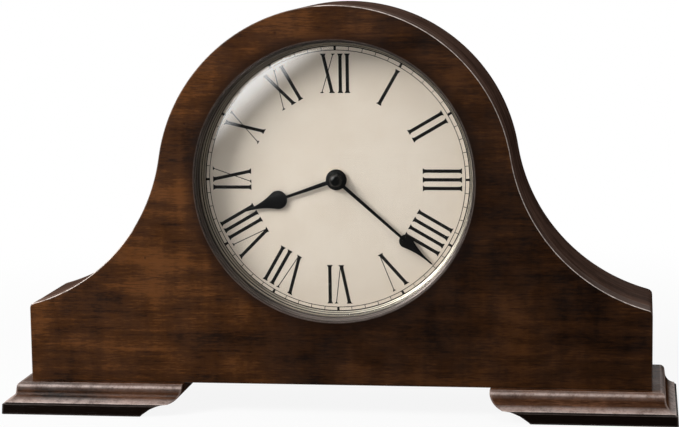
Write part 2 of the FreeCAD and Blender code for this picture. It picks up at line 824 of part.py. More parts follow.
keep("hinge_case_leaves", cut(group(*case_leaves), *leaf_screws(-1, case_leaf_face, dim.hinge_screw_length)))
keep("hinge_door_leaves", cut(group(*door_leaves), *leaf_screws(1, door_leaf_face, dim.door_screw_length)))
keep("hinge_pins", group(*hinge_pins))
keep("hinge_case_screws", group(*case_screws))
keep("hinge_door_screws", group(*door_screws))

# Ring in the hole, glass, gasket and dial plate
ring_outer = dial_hole_radius - dim.ring_clearance
ring_front, ring_mid, ring_low, ring_seat, ring_inner = [
    dial_hole_radius - inset for inset in (dim.ring_front_inset, dim.ring_mid_inset, dim.ring_low_inset,
                                           dim.ring_seat_inset, dim.ring_inner_inset)]
dial_front = dim.front_board
glass_radius = ring_seat - dim.glass_clearance
glass_back = dim.glass_seat_depth - dim.gasket_sheet
glass_edge = glass_back - dim.glass_sheet
ring_points = [(ring_outer, dim.ring_setback), (ring_outer, dial_front),
               (ring_inner, dial_front), (ring_inner, dim.glass_seat_depth),
               (ring_seat, dim.glass_seat_depth),
               (ring_seat, glass_edge - dim.fit_gap),
               (ring_low - dim.ring_bead / 4, dim.ring_second_step + dim.ring_bead * 2),
               (ring_low, dim.ring_second_step + dim.ring_bead),
               (ring_mid - dim.ring_bead / 2, dim.ring_second_step),
               (ring_mid, dim.ring_second_step - dim.ring_bead),
               (ring_mid, dim.ring_first_step + dim.ring_bead),
               (ring_front - dim.ring_bead / 2, dim.ring_first_step),
               (ring_front, dim.ring_first_step - dim.ring_bead),
               (ring_front, dim.ring_setback)]
keep("dial_ring", turned(ring_points, dial_place(0)))
dome_radius = (glass_radius * glass_radius + dim.glass_rise * dim.glass_rise) / (dim.glass_rise * 2)
inner_dome = dome_radius - dim.glass_sheet
dome_centre = glass_edge - dim.glass_rise + dome_radius
inner_apex = dome_centre - inner_dome
inner_edge = dome_centre - root(inner_dome * inner_dome - glass_radius * glass_radius)
keep("crystal", turned([(0, inner_apex), (0, glass_edge - dim.glass_rise), (glass_radius, glass_edge),
                        (glass_radius, inner_edge)], dial_place(0),
                       arcs={1: (dome_radius, 1), 3: (inner_dome, -1)}))
keep("crystal_gasket", tube(ring_inner, glass_radius, dim.glass_seat_depth - inner_edge,
                            dial_place(inner_edge)))
dial_screw_turns = (45, 135, 225, 315)
dial_screw_circle = dial_hole_radius + dim.dial_screw_out
dial_screw_spots = [(dial_screw_circle * cosine(turn), dial_screw_circle * sine(turn))
                    for turn in dial_screw_turns]
dial_blank = tube(dim.dial_bore_radius, dial_hole_radius + dim.dial_lap, dim.dial_sheet,
                  dial_place(dial_front))
dial_screw_holes = [disc(dim.dial_screw_radius + dim.pivot_play, dim.dial_sheet + dim.cut_overrun * 2,
                         dial_place(dial_front - dim.cut_overrun, x, z)) for x, z in dial_screw_spots]
keep("dial_plate", cut(dial_blank, *dial_screw_holes))
dial_back = dial_front + dim.dial_sheet
keep("dial_screws", group(*[
    turned([(0, 0), (dim.dial_screw_radius, 0), (dim.dial_screw_radius, dim.dial_screw_length),
            (dim.screw_head_radius, dim.dial_screw_length), (dim.screw_head_radius, dim.dial_screw_length
                                                             + dim.screw_head_height),
            (0, dim.dial_screw_length + dim.screw_head_height)],
           dial_place(dial_back - dim.dial_screw_length, x, z)) for x, z in dial_screw_spots]))
movement_front = dial_back + dim.washer_sheet
keep("mounting_washer", tube(dim.bush_radius, dim.washer_radius, dim.washer_sheet, dial_place(dial_back)))
nut_corner_turns = range(0, FULL_TURN, 60)
nut_reach = dim.nut_across / cosine(30)
nut_blank = padded([(nut_reach * cosine(turn), nut_reach * sine(turn)) for turn in nut_corner_turns],
                   dim.nut_height, dial_place(dial_front - dim.nut_height))
nut_bore = disc(dim.bush_radius, dim.nut_height + dim.cut_overrun * 2,
                dial_place(dial_front - dim.nut_height - dim.cut_overrun))
keep("mounting_nut", cut(nut_blank, nut_bore))


def spade_hand(name, depth, bore, spade_share, turn):
    """A flat spade hand that points up, then turned clockwise about the dial's axis."""
    parts = ("hub_radius", "arm_half", "arm_tip_half", "spade_length", "spade_radius", "spade_flank",
             "hand_short")
    hub, arm, tip_arm, length, spade, flank, short = [getattr(dim, f"{name}_{part}") for part in parts]
    reach = dial_hole_radius - short
    middle = reach - length
    hub_z = root(hub * hub - arm * arm)
    neck_z = middle - root(spade * spade - tip_arm * tip_arm)
    widest_x = spade * root(1 - spade_share * spade_share)
    widest_z = middle + spade * spade_share
    tip_z = reach - dim.hand_tip_length
    blade = [(-arm, hub_z), (arm, hub_z), (tip_arm, neck_z), (spade, middle), (widest_x, widest_z),
             (dim.hand_tip_half, tip_z), (0, reach), (-dim.hand_tip_half, tip_z), (-widest_x, widest_z),
             (-spade, middle), (-tip_arm, neck_z)]
    blade_arcs = {0: (hub, -1), 2: (spade, 1), 3: (spade, 1), 4: (flank, -1),
                  7: (flank, -1), 8: (spade, 1), 9: (spade, 1)}
    arm_body = padded(blade, dim.hand_sheet, dial_place(depth), blade_arcs)
    hub_body = disc(hub, dim.hand_sheet, dial_place(depth))
    bore_body = disc(bore, dim.hand_sheet + dim.cut_overrun * 2, dial_place(depth - dim.cut_overrun))
    hand = cut(joined(arm_body, hub_body), bore_body)
    hand.Placement = Placement(Vector(), Rotation(Vector(0, 1, 0), turn), Vector(0, 0, dial_z.value))
    return hand


keep("hour_hand", spade_hand("hour", dim.hour_hand_depth, dim.hour_tube_radius, HOUR_SPADE_SHARE,
                             HOUR_HAND_TURN))
keep("minute_hand", spade_hand("minute", dim.minute_hand_depth, dim.minute_arbor_radius, MINUTE_SPADE_SHARE,
                               MINUTE_HAND_TURN))
collet_front = dim.minute_hand_depth - dim.collet_height
keep("minute_collet", tube(dim.minute_arbor_radius, dim.collet_radius, dim.collet_height,
                           dial_place(collet_front)))
cap_front = collet_front - dim.cap_height
arbor_front = collet_front - dim.cap_height / 2
cap_section = [(0, arbor_front), (0, cap_front),
               (dim.cap_radius * CAP_RIM_SHARE, cap_front + dim.cap_height * CAP_SHOULDER_SHARE),
               (dim.cap_radius, collet_front), (dim.minute_arbor_radius, collet_front),
               (dim.minute_arbor_radius, arbor_front)]
keep("hand_cap", turned(cap_section, dial_place(0), arcs={1: (dim.cap_radius * CAP_DOME_SHARE, 1)}))

# Places of the train's axes about the dial's axis, seen from the front
def step_from(start, bearing, distance):
    """A point at a distance and bearing from another."""
    return (start[0] + distance * cosine(bearing), start[1] + distance * sine(bearing))


def mesh_distance(module, first, second):
    """Distance between the axes of two wheels in mesh."""
    return module * (TEETH[first] + TEETH[second]) / 2


centre = (Size("0", 0), Size("0", 0))
minute_axis = step_from(centre, BEARINGS["minute_wheel"], mesh_distance(dim.cannon_module, "cannon_pinion",
                                                                        "minute_wheel"))
setting_axis = step_from(minute_axis, BEARINGS["setting_pinion"],
                         mesh_distance(dim.cannon_module, "minute_wheel", "setting_pinion"))
third_axis = step_from(centre, BEARINGS["third_wheel"], mesh_distance(dim.centre_module, "centre_wheel",
                                                                      "third_pinion"))
seconds_axis = step_from(third_axis, BEARINGS["seconds_wheel"],
                         mesh_distance(dim.third_module, "third_wheel", "seconds_pinion"))
intermediate_axis = step_from(seconds_axis, BEARINGS["intermediate_wheel"],
                              mesh_distance(dim.seconds_module, "seconds_wheel", "intermediate_pinion"))
rotor_axis = step_from(intermediate_axis, BEARINGS["rotor"],
                       mesh_distance(dim.motor_module, "intermediate_wheel", "rotor_pinion"))

# Layers of the train, as depths behind the face of the front board
inside_front = movement_front + dim.movement_wall
movement_rear = movement_front + dim.movement_depth
inside_rear = movement_rear - dim.movement_wall
layer = dim.wheel_sheet + dim.wheel_gap
layer_depths = [inside_front + dim.wheel_gap + layer * count for count in range(7)]
(hour_layer, cannon_layer, centre_layer, third_layer, seconds_layer, motor_layer, rotor_layer) = layer_depths


def tooth_start(start, bearing, teeth, mate):
    """Angle of one tooth of a wheel's mate, so that the two are in mesh on the bearing."""
    half_tooth = FULL_TURN / TEETH[mate] / 2
    return bearing + FULL_TURN / 2 - (start - bearing) * TEETH[teeth] / TEETH[mate] + half_tooth


def gear(name, module, start, depth, axis):
    """A toothed disc one wheel sheet thick, with one tooth centred on the start angle."""
    count = TEETH[name]
    pitch_radius = module.value * count / 2
    tip = pitch_radius + TOOTH_HEIGHT_SHARE * module.value
    base = pitch_radius - TOOTH_DEPTH_SHARE * module.value
    pitch = 2 * math.pi / count
    flank_steps = ((base, -TOOTH_ROOT_SHARE), (pitch_radius, -TOOTH_PITCH_SHARE), (tip, -TOOTH_TIP_SHARE),
                   (tip, TOOTH_TIP_SHARE), (pitch_radius, TOOTH_PITCH_SHARE), (base, TOOTH_ROOT_SHARE))
    corners = []
    for tooth in range(count):
        middle = math.radians(start) + tooth * pitch
        for radius, share in flank_steps:
            turn = middle + share * pitch / 2
            corners.append(Vector(radius * math.cos(turn), 0, radius * math.sin(turn)))
    face = Part.Face(Part.makePolygon(corners + corners[:1]))
    solid = face.extrude(Vector(0, dim.wheel_sheet.value, 0))
    return move(solid, depth, axis)


def rod(radius, length, depth, axis):
    """A plain round bar along Y."""
    return move(Part.makeCylinder(radius.value, value_of(length), Vector(), Vector(0, 1, 0)), depth, axis)


def move(solid, depth, axis):
    """A shape moved from its own axis to its axis in the clock."""
    solid.translate(Vector(value_of(axis[0]), value_of(depth), value_of(axis[1])))
    return solid


def wheel(label, *shapes, bore=None):
    """A toothed piece from its discs and arbor, less its bore, placed on the dial's axis."""
    solid = shapes[0].multiFuse(list(shapes[1:])).removeSplitter()
    if bore is not None:
        solid = solid.cut(bore)
    feature = doc.addObject("Part::Feature", "Wheel")
    feature.Shape = solid
    feature.Placement = Placement(Vector(0, front_y.value, dial_z.value), Rotation())
    return keep(label, feature)


# Toothed pieces: the motion work behind the dial, then the going train back to the rotor
cannon_start = 0
minute_bearing = BEARINGS["minute_wheel"]
minute_start = tooth_start(cannon_start, minute_bearing, "cannon_pinion", "minute_wheel")
setting_bearing = BEARINGS["setting_pinion"]
setting_start = tooth_start(minute_start, setting_bearing, "minute_wheel", "setting_pinion")
hour_start = tooth_start(0, minute_bearing - FULL_TURN / 2, "minute_pinion", "hour_wheel")
third_bearing = BEARINGS["third_wheel"]
third_pinion_start = tooth_start(0, third_bearing, "centre_wheel", "third_pinion")
seconds_pinion_start = tooth_start(0, BEARINGS["seconds_wheel"], "third_wheel", "seconds_pinion")
intermediate_pinion_start = tooth_start(0, BEARINGS["intermediate_wheel"], "seconds_wheel",
                                        "intermediate_pinion")
rotor_pinion_start = tooth_start(0, BEARINGS["rotor"], "intermediate_wheel", "rotor_pinion")
rear_pivot = inside_rear - dim.wheel_gap / 4
front_pivot = inside_front + dim.wheel_gap / 4

arbor_rear = centre_layer + dim.wheel_sheet + dim.wheel_gap
wheel("minute_arbor", gear("cannon_pinion", dim.cannon_module, cannon_start, cannon_layer, centre),
      rod(dim.minute_arbor_radius, arbor_rear - arbor_front, arbor_front, centre))
wheel("hour_wheel", gear("hour_wheel", dim.hour_module, hour_start, hour_layer, centre),
      rod(dim.hour_tube_radius, hour_layer - dim.hour_hand_depth + dim.fit_gap,
          dim.hour_hand_depth - dim.fit_gap, centre),
      bore=rod(dim.hour_tube_bore, dim.movement_depth, dim.minute_hand_depth, centre))
post_bore = dim.post_radius + dim.pivot_play
minute_core = dim.hour_module * (TEETH["minute_pinion"] / 2 - TOOTH_DEPTH_SHARE)
wheel("minute_wheel", gear("minute_wheel", dim.cannon_module, minute_start, cannon_layer, minute_axis),
      gear("minute_pinion", dim.hour_module, 0, hour_layer, minute_axis),
      rod(minute_core, layer, hour_layer, minute_axis),
      bore=rod(post_bore, dim.movement_depth, inside_front, minute_axis))
knob_rear = movement_rear + dim.wheel_gap
wheel("setting_knob", gear("setting_pinion", dim.cannon_module, setting_start, cannon_layer, setting_axis),
      rod(dim.knob_shaft, knob_rear - front_pivot, front_pivot, setting_axis),
      rod(dim.knob_radius, dim.knob_height, knob_rear, setting_axis))
wheel("centre_wheel", gear("centre_wheel", dim.centre_module, 0, centre_layer, centre),
      bore=rod(dim.minute_arbor_radius + dim.pivot_play, dim.movement_depth, inside_front, centre))


def train_wheel(label, axis, large, large_module, large_start, large_layer, small, small_module, small_start,
                small_layer):
    """A wheel and pinion on one arbor between the front and rear cases."""
    low = min((large_layer, small_layer), key=value_of)
    core = small_module * (TEETH[small] / 2 - TOOTH_DEPTH_SHARE)
    wheel(label, gear(large, large_module, large_start, large_layer, axis),
          gear(small, small_module, small_start, small_layer, axis),
          rod(core, layer, low, axis),
          rod(dim.arbor_radius, rear_pivot - front_pivot, front_pivot, axis))


train_wheel("third_wheel", third_axis, "third_wheel", dim.third_module, 0, third_layer,
            "third_pinion", dim.centre_module, third_pinion_start, centre_layer)
train_wheel("seconds_wheel", seconds_axis, "seconds_wheel", dim.seconds_module, 0, seconds_layer,
            "seconds_pinion", dim.third_module, seconds_pinion_start, third_layer)
train_wheel("intermediate_wheel", intermediate_axis, "intermediate_wheel", dim.motor_module, 0, motor_layer,
            "intermediate_pinion", dim.seconds_module, intermediate_pinion_start, seconds_layer)
wheel("rotor", gear("rotor_pinion", dim.motor_module, rotor_pinion_start, motor_layer, rotor_axis),
      rod(dim.rotor_radius, dim.rotor_height, rotor_layer, rotor_axis),
      rod(dim.arbor_radius, rear_pivot - front_pivot, front_pivot, rotor_axis))

# Movement case: two shells that meet on one plane, wide enough for the cells beside the circuit
# board between the screw posts
split = movement_front + dim.movement_depth / 2
wall = dim.movement_wall
post_reach = dim.case_screw_inset + dim.case_boss_radius + dim.movement_gap
cell_room = dim.contact_sheet * 2 + dim.cell_length
movement_half = (post_reach * 2 + cell_room + wall + dim.movement_gap + dim.board_width) / 2
cell_middle = post_reach + cell_room / 2 - movement_half
board_x = movement_half - post_reach - dim.board_width / 2
cell_pitch = dim.cell_radius * 2 + dim.cell_gap
cell_rises = (-(dim.cell_drop + dim.cell_radius + cell_pitch), -(dim.cell_drop + dim.cell_radius))
bay_low = cell_rises[0] - dim.cell_radius - dim.cell_gap
bay_height = cell_pitch * 2 + dim.cell_gap
movement_low = bay_low - wall - dim.movement_gap
case_height = dim.movement_high - movement_low
screw_x = movement_half - dim.case_screw_inset
screw_low = movement_low + dim.case_screw_inset
screw_high = dim.movement_high - dim.case_screw_inset
screw_spots = [(x, z) for x in (-screw_x, screw_x) for z in (screw_low, screw_high)]


def shell(depth, length, floor_depth):
    """A rounded open box of the movement's outline, whose floor lies at one end."""
    outer = padded([(-movement_half, movement_low), (movement_half, movement_low),
                    (movement_half, dim.movement_high), (-movement_half, dim.movement_high)],
                   length, dial_place(depth))
    round_edges(outer, dim.movement_corner, along_y)
    inner_half = movement_half - wall
    cavity = slab(inner_half * 2, length, case_height - wall * 2,
                  dial_place(floor_depth, -inner_half, wall + movement_low))
    return cut(outer, cavity)


def at(spot, depth):
    """A place on an axis of the movement."""
    return dial_place(depth, spot[0], spot[1])


pivot_bore = dim.arbor_radius + dim.pivot_play
train_axes = (third_axis, seconds_axis, intermediate_axis, rotor_axis)
front_shell = shell(movement_front, dim.movement_depth / 2, inside_front)
bush_length = movement_front - dim.hour_hand_depth - dim.hand_sheet - dim.fit_gap
front_solids = [front_shell, disc(dim.bush_radius, bush_length + wall,
                                  dial_place(movement_front - bush_length)),
                disc(dim.post_radius, cannon_layer + dim.wheel_sheet + dim.wheel_gap / 4 - inside_front,
                     at(minute_axis, inside_front))]
front_cuts = [disc(dim.bush_bore_radius, bush_length + wall + dim.cut_overrun * 2,
                   dial_place(movement_front - bush_length - dim.cut_overrun))]
for axis in train_axes:
    front_cuts.append(disc(pivot_bore, dim.cut_overrun + wall, at(axis, movement_front + wall / 2)))
front_cuts.append(disc(dim.knob_shaft + dim.pivot_play, dim.cut_overrun + wall,
                       at(setting_axis, movement_front + wall / 2)))
screw_posts = [disc(dim.case_boss_radius, split - inside_front, at(spot, inside_front))
               for spot in screw_spots]
stator_depth = rotor_layer + (dim.rotor_height - dim.stator_sheet) / 2
coil_x = rotor_axis[0]
coil_z = rotor_axis[1] - dim.coil_drop
stator_half = dim.coil_length / 2 + dim.stator_leg
leg_reach = stator_half - dim.stator_leg / 2
for side in (-1, 1):
    front_solids.append(disc(dim.stator_post, stator_depth - inside_front,
                             dial_place(inside_front, coil_x + side * leg_reach, coil_z)))
cell_depth = movement_rear - wall - dim.cell_radius
for side in (-1, 1):
    front_solids.append(slab(wall, cell_depth - dim.cell_radius - inside_front, cell_pitch,
                             dial_place(inside_front, cell_middle + side * dim.cell_length / 4, bay_low)))
contact_end = cell_middle + dim.cell_length / 2 + dim.contact_sheet
front_solids.append(slab(wall, split - inside_front, bay_height,
                         dial_place(inside_front, contact_end, bay_low)))
front_solids.append(slab(dim.board_width / 2, dim.boss_height, dim.board_height / 2,
                         dial_place(inside_front, board_x - dim.board_width / 4,
                                    -(dim.board_drop + dim.board_height / 4))))
screw_holes = [disc(dim.case_screw_radius, split - inside_front + dim.cut_overrun, at(spot, inside_front))
               for spot in screw_spots]
keep("movement_front_case", cut(joined(*front_solids, *screw_posts), *front_cuts, *screw_holes))

rear_shell = shell(split, dim.movement_depth / 2, split - wall)
rear_posts = [disc(dim.case_boss_radius, inside_rear - split, at(spot, split)) for spot in screw_spots]
rear_holes = [disc(dim.case_screw_radius + dim.pivot_play, dim.movement_depth,
                   at(spot, split - dim.cut_overrun)) for spot in screw_spots]
rear_cuts = [disc(pivot_bore, dim.cut_overrun + wall / 2, at(axis, inside_rear - dim.cut_overrun))
             for axis in train_axes]
rear_cuts.append(disc(dim.knob_shaft + dim.pivot_play, dim.cut_overrun * 2 + wall,
                      at(setting_axis, inside_rear - dim.cut_overrun)))
bay_half = dim.cell_length / 2 - dim.contact_sheet
rear_cuts.append(slab(bay_half * 2, wall * 3, bay_height,
                      dial_place(inside_rear - wall, cell_middle - bay_half, bay_low)))
selector_x = -dim.selector_offset
selector_half = dim.selector_stem + dim.selector_travel + dim.cell_gap
rear_cuts.append(slab(selector_half * 2, wall * 3, dim.selector_stem * 2 + dim.fit_gap * 2,
                      dial_place(inside_rear - wall, selector_x - selector_half,
                                 dim.selector_raise - dim.selector_stem - dim.fit_gap)))
volume_axis = (dim.volume_offset, dim.selector_raise)
rear_cuts.append(disc(dim.knob_shaft + dim.pivot_play, wall + dim.cut_overrun * 2,
                      at(volume_axis, inside_rear - dim.cut_overrun)))
keep("movement_rear_case", cut(joined(rear_shell, *rear_posts), *rear_holes, *rear_cuts))
keep("movement_screws", group(*[
    screw(dim.screw_head_radius, dim.screw_head_height, dim.case_screw_radius, dim.case_screw_length,
          at(spot, movement_rear + dim.screw_head_height)) for spot in screw_spots]))

# Motor, circuit board, batteries, contacts and controls
stator_top = rotor_axis[1] + dim.coil_flange
yoke = slab(stator_half * 2, dim.stator_sheet, stator_top - coil_z + dim.coil_core,
            dial_place(stator_depth, coil_x - stator_half, coil_z - dim.coil_core))
rotor_well = disc(dim.rotor_radius + dim.stator_gap, dim.cut_overrun * 2 + dim.stator_sheet,
                  at(rotor_axis, stator_depth - dim.cut_overrun))
window = slab(dim.coil_length + dim.cell_gap * 2, dim.stator_sheet + dim.cut_overrun * 2,
              dim.coil_flange * 2,
              dial_place(stator_depth - dim.cut_overrun, coil_x - dim.coil_length / 2 - dim.cell_gap,
                         coil_z + dim.coil_core - dim.fit_gap))
keep("motor_stator", cut(yoke, rotor_well, window))
coil_y = stator_depth + dim.stator_sheet / 2
flange_end = dim.coil_length / 2
flange_inner = flange_end - dim.stator_sheet
coil_section = [(0, -flange_end), (dim.coil_flange, -flange_end), (dim.coil_flange, -flange_inner),
                (dim.coil_radius, -flange_inner), (dim.coil_radius, flange_inner),
                (dim.coil_flange, flange_inner), (dim.coil_flange, flange_end), (0, flange_end)]
coil_blank = turned(coil_section, dial_place(coil_y, coil_x, coil_z), "X")
core_slot = slab(dim.coil_length + dim.cut_overrun * 2, dim.stator_sheet, dim.coil_core * 2,
                 dial_place(stator_depth, coil_x - flange_end - dim.cut_overrun, coil_z - dim.coil_core))
keep("motor_coil", cut(coil_blank, core_slot))
board_depth = inside_front + dim.boss_height
keep("circuit_board", slab(dim.board_width, dim.board_sheet, dim.board_height,
                           dial_place(board_depth, board_x - dim.board_width / 2,
                                      -(dim.board_drop + dim.board_height / 2))))
can_depth = board_depth + dim.board_sheet + dim.can_radius
keep("quartz_can", disc(dim.can_radius, dim.can_length,
                        dial_place(can_depth, board_x, -dim.board_drop), "X"))
for label, rise in zip(("lower_battery", "upper_battery"), cell_rises):
    cell_half = dim.cell_length / 2
    nub = cell_half - dim.wheel_gap
    section = [(0, -cell_half), (dim.cell_radius, -cell_half), (dim.cell_radius, nub),
               (dim.cell_radius / 3, nub), (dim.cell_radius / 3, cell_half), (0, cell_half)]
    keep(label, turned(section, dial_place(cell_depth, cell_middle, rise), "X"))
keep("battery_contacts", group(*[
    slab(dim.contact_sheet, dim.cell_radius, dim.cell_radius,
         dial_place(cell_depth - dim.cell_radius / 2, x, rise - dim.cell_radius / 2))
    for rise in cell_rises
    for x in (cell_middle - dim.cell_length / 2 - dim.contact_sheet, cell_middle + dim.cell_length / 2)]))
stem_front = inside_rear - dim.selector_stem
selector_stem = slab(dim.selector_stem * 2, dim.selector_stem + wall + dim.fit_gap, dim.selector_stem * 2,
                     dial_place(stem_front, selector_x - dim.selector_stem,
                                dim.selector_raise - dim.selector_stem))
selector_cap = slab(dim.selector_cap_width * 2, dim.selector_cap_height, dim.selector_cap_width,
                    dial_place(movement_rear + dim.fit_gap, selector_x - dim.selector_cap_width,
                               dim.selector_raise - dim.selector_cap_width / 2))
keep("chime_selector", joined(selector_stem, selector_cap))
volume_start = inside_rear - dim.selector_stem
volume_face = movement_rear + dim.fit_gap
volume_rear = movement_rear + dim.selector_cap_height
volume_section = [(0, volume_start), (dim.knob_shaft, volume_start), (dim.knob_shaft, volume_face),
                  (dim.volume_radius, volume_face), (dim.volume_radius, volume_rear), (0, volume_rear)]
keep("volume_knob", turned(volume_section, dial_place(0, volume_axis[0], volume_axis[1])))

# Speaker behind the sound holes
speaker_rear = back_front


def speaker_place(depth):
    """A place on the speaker's axis."""
    return case_place(speaker_x, depth, speaker_height)


basket_floor = speaker_rear - dim.speaker_depth
skin = dim.speaker_sheet
basket = [(dim.speaker_throat, basket_floor), (dim.speaker_magnet_radius, basket_floor),
          (dim.speaker_surround, speaker_rear - skin), (dim.speaker_radius, speaker_rear - skin),
          (dim.speaker_radius, speaker_rear), (dim.speaker_surround - skin, speaker_rear),
          (dim.speaker_magnet_radius - skin, basket_floor + skin), (dim.speaker_throat, basket_floor + skin)]
speaker_screw_spots = [(dim.speaker_screw_circle * cosine(turn), dim.speaker_screw_circle * sine(turn))
                       for turn in dial_screw_turns]


def speaker_screws():
    """Screws through the speaker's rim into the back panel, driven backwards."""
    head = dim.speaker_screw_head
    shank = dim.speaker_screw_radius
    section = [(0, -skin * 2), (head, -skin * 2), (head, -skin), (shank, -skin),
               (shank, dim.speaker_screw_length), (0, dim.speaker_screw_length)]
    return [turned(section, case_place(x + speaker_x, speaker_rear, speaker_height + z))
            for x, z in speaker_screw_spots]


keep("speaker_frame", cut(turned(basket, speaker_place(0)), *speaker_screws()))
keep("speaker_screws", group(*speaker_screws()))
cone_front = basket_floor + skin * 3
cone_edge = dim.speaker_surround - skin
cone = [(0, cone_front), (dim.speaker_throat, cone_front), (cone_edge - skin, speaker_rear - skin),
        (cone_edge, speaker_rear), (cone_edge - skin * 2, speaker_rear),
        (dim.speaker_throat - skin, cone_front + skin), (0, cone_front + skin)]
keep("speaker_cone", turned(cone, speaker_place(0)))
keep("speaker_magnet", disc(dim.speaker_magnet_radius, dim.speaker_magnet_height,
                            speaker_place(basket_floor - dim.speaker_magnet_height)))

# Lead from the movement's side to the speaker's magnet, in one plane
lead_start = (-movement_half, dial_height - dim.lead_drop)
lead_turn = lead_start[0] - dim.lead_out
lead_end = (dim.speaker_magnet_radius + speaker_x, speaker_height)
bend = dim.lead_bend
lead_points = [lead_start, (lead_turn + bend, lead_start[1]), (lead_turn, lead_start[1] - bend),
               (lead_turn, lead_end[1] + bend), (lead_turn - bend, lead_end[1]), lead_end]
lead = doc.addObject("PartDesign::Body", "Body")
lead_path = draw_path(new_sketch(lead, "XZ_Plane"), lead_points, {1: (bend, 1), 3: (bend, -1)})
lead_section = draw_circle(new_sketch(lead, "YZ_Plane"), 0, lead_start[1], dim.lead_radius)
lead_section.setExpression("AttachmentOffset.Base.z", text_of(lead_start[0]))
lead_pipe = lead.newObject("PartDesign::AdditivePipe", "Pipe")
lead_pipe.Profile = lead_section
lead_pipe.Spine = (lead_path, [])
keep("speaker_lead", locate(lead, case_place(depth=dim.lead_depth)))

doc.recompute()


def check(objects, nodes):
    """Stops when a feature failed or a sub-part has no sound shape."""
    for item in objects:
        if any(word in item.State for word in ("Invalid", "Error")):
            raise RuntimeError(f"{item.Name} ({item.Label}) failed")
    for label, item in nodes.items():
        if item.Shape.isNull() or not item.Shape.isValid():
            raise RuntimeError(f"{label} has no sound shape")
        if not item.Shape.Solids:
            raise RuntimeError(f"{label} has no solid")


check(doc.Objects, bodies)
os.makedirs("parts", exist_ok=True)
for label, item in bodies.items():
    item.Shape.exportStep(f"parts/{label}.step")
print(len(bodies), "sub-parts written")
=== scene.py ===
"""Looks of a tambour mantel clock, dressed around its fixed frame.

Sizes in the classes are millimetres and turn into metres when a mesh is finished. X runs to the
viewer's right, Y to the back and Z up, with the ground at zero. Distances in the finishes are metres.
"""

import json
import logging
import math
from collections.abc import Iterable, Sequence
from dataclasses import dataclass
from enum import Enum
from functools import cache

import bmesh
import bpy
from mathutils import Matrix, Vector
from mathutils.geometry import tessellate_polygon


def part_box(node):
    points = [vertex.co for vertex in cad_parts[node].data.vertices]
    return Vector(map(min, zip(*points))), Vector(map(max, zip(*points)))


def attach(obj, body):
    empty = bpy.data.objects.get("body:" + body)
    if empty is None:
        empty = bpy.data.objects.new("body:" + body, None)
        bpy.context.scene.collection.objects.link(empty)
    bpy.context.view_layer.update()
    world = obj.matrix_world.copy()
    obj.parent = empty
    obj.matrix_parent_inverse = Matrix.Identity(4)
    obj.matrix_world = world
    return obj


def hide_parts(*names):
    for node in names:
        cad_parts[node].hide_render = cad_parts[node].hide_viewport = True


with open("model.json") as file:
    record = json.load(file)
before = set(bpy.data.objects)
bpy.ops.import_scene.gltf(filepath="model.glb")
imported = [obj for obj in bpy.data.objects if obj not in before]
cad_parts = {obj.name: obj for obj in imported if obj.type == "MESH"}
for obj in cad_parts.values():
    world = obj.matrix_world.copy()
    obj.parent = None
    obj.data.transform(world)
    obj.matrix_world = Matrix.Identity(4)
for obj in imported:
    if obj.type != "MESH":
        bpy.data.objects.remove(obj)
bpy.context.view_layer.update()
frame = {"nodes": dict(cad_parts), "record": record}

log = logging.getLogger("mantel_clock")

Point = tuple[float, float]
Spot = tuple[float, float, float]
Colour = tuple[float, float, float]
Socket = bpy.types.NodeSocket
Node = bpy.types.Node
Tree = bpy.types.NodeTree
Material = bpy.types.Material
Piece = bpy.types.Object
Mesh = bmesh.types.BMesh
Corner = bmesh.types.BMVert

MM = 0.001
QUARTER = math.pi / 2
WHITE = (1.0, 1.0, 1.0)
FRONT_Y = -33.2
REAR_Y = 50.2
CASE_Z = 20.0
DIAL_Z = 155.5
DIAL_FACE_Y = -15.2
AXIS = (0.0, DIAL_Z)
BODY_OF = {node: body for body, nodes in frame["record"]["behaviour"]["bodies"].items() for node in nodes}


class Grain(Enum):
    """Where a wood finish takes its grain's direction from."""

    ALONG_X = "object"
    ALONG_PIECE = "grain"


class Lay(Enum):
    """The fine lines on a metal: their density per metre along and across them."""

    CAST = (900.0, 900.0)
    TURNED = (1.0, 1700.0)
    DRAWN = (60.0, 2600.0)


# Laying out shader and geometry nodes

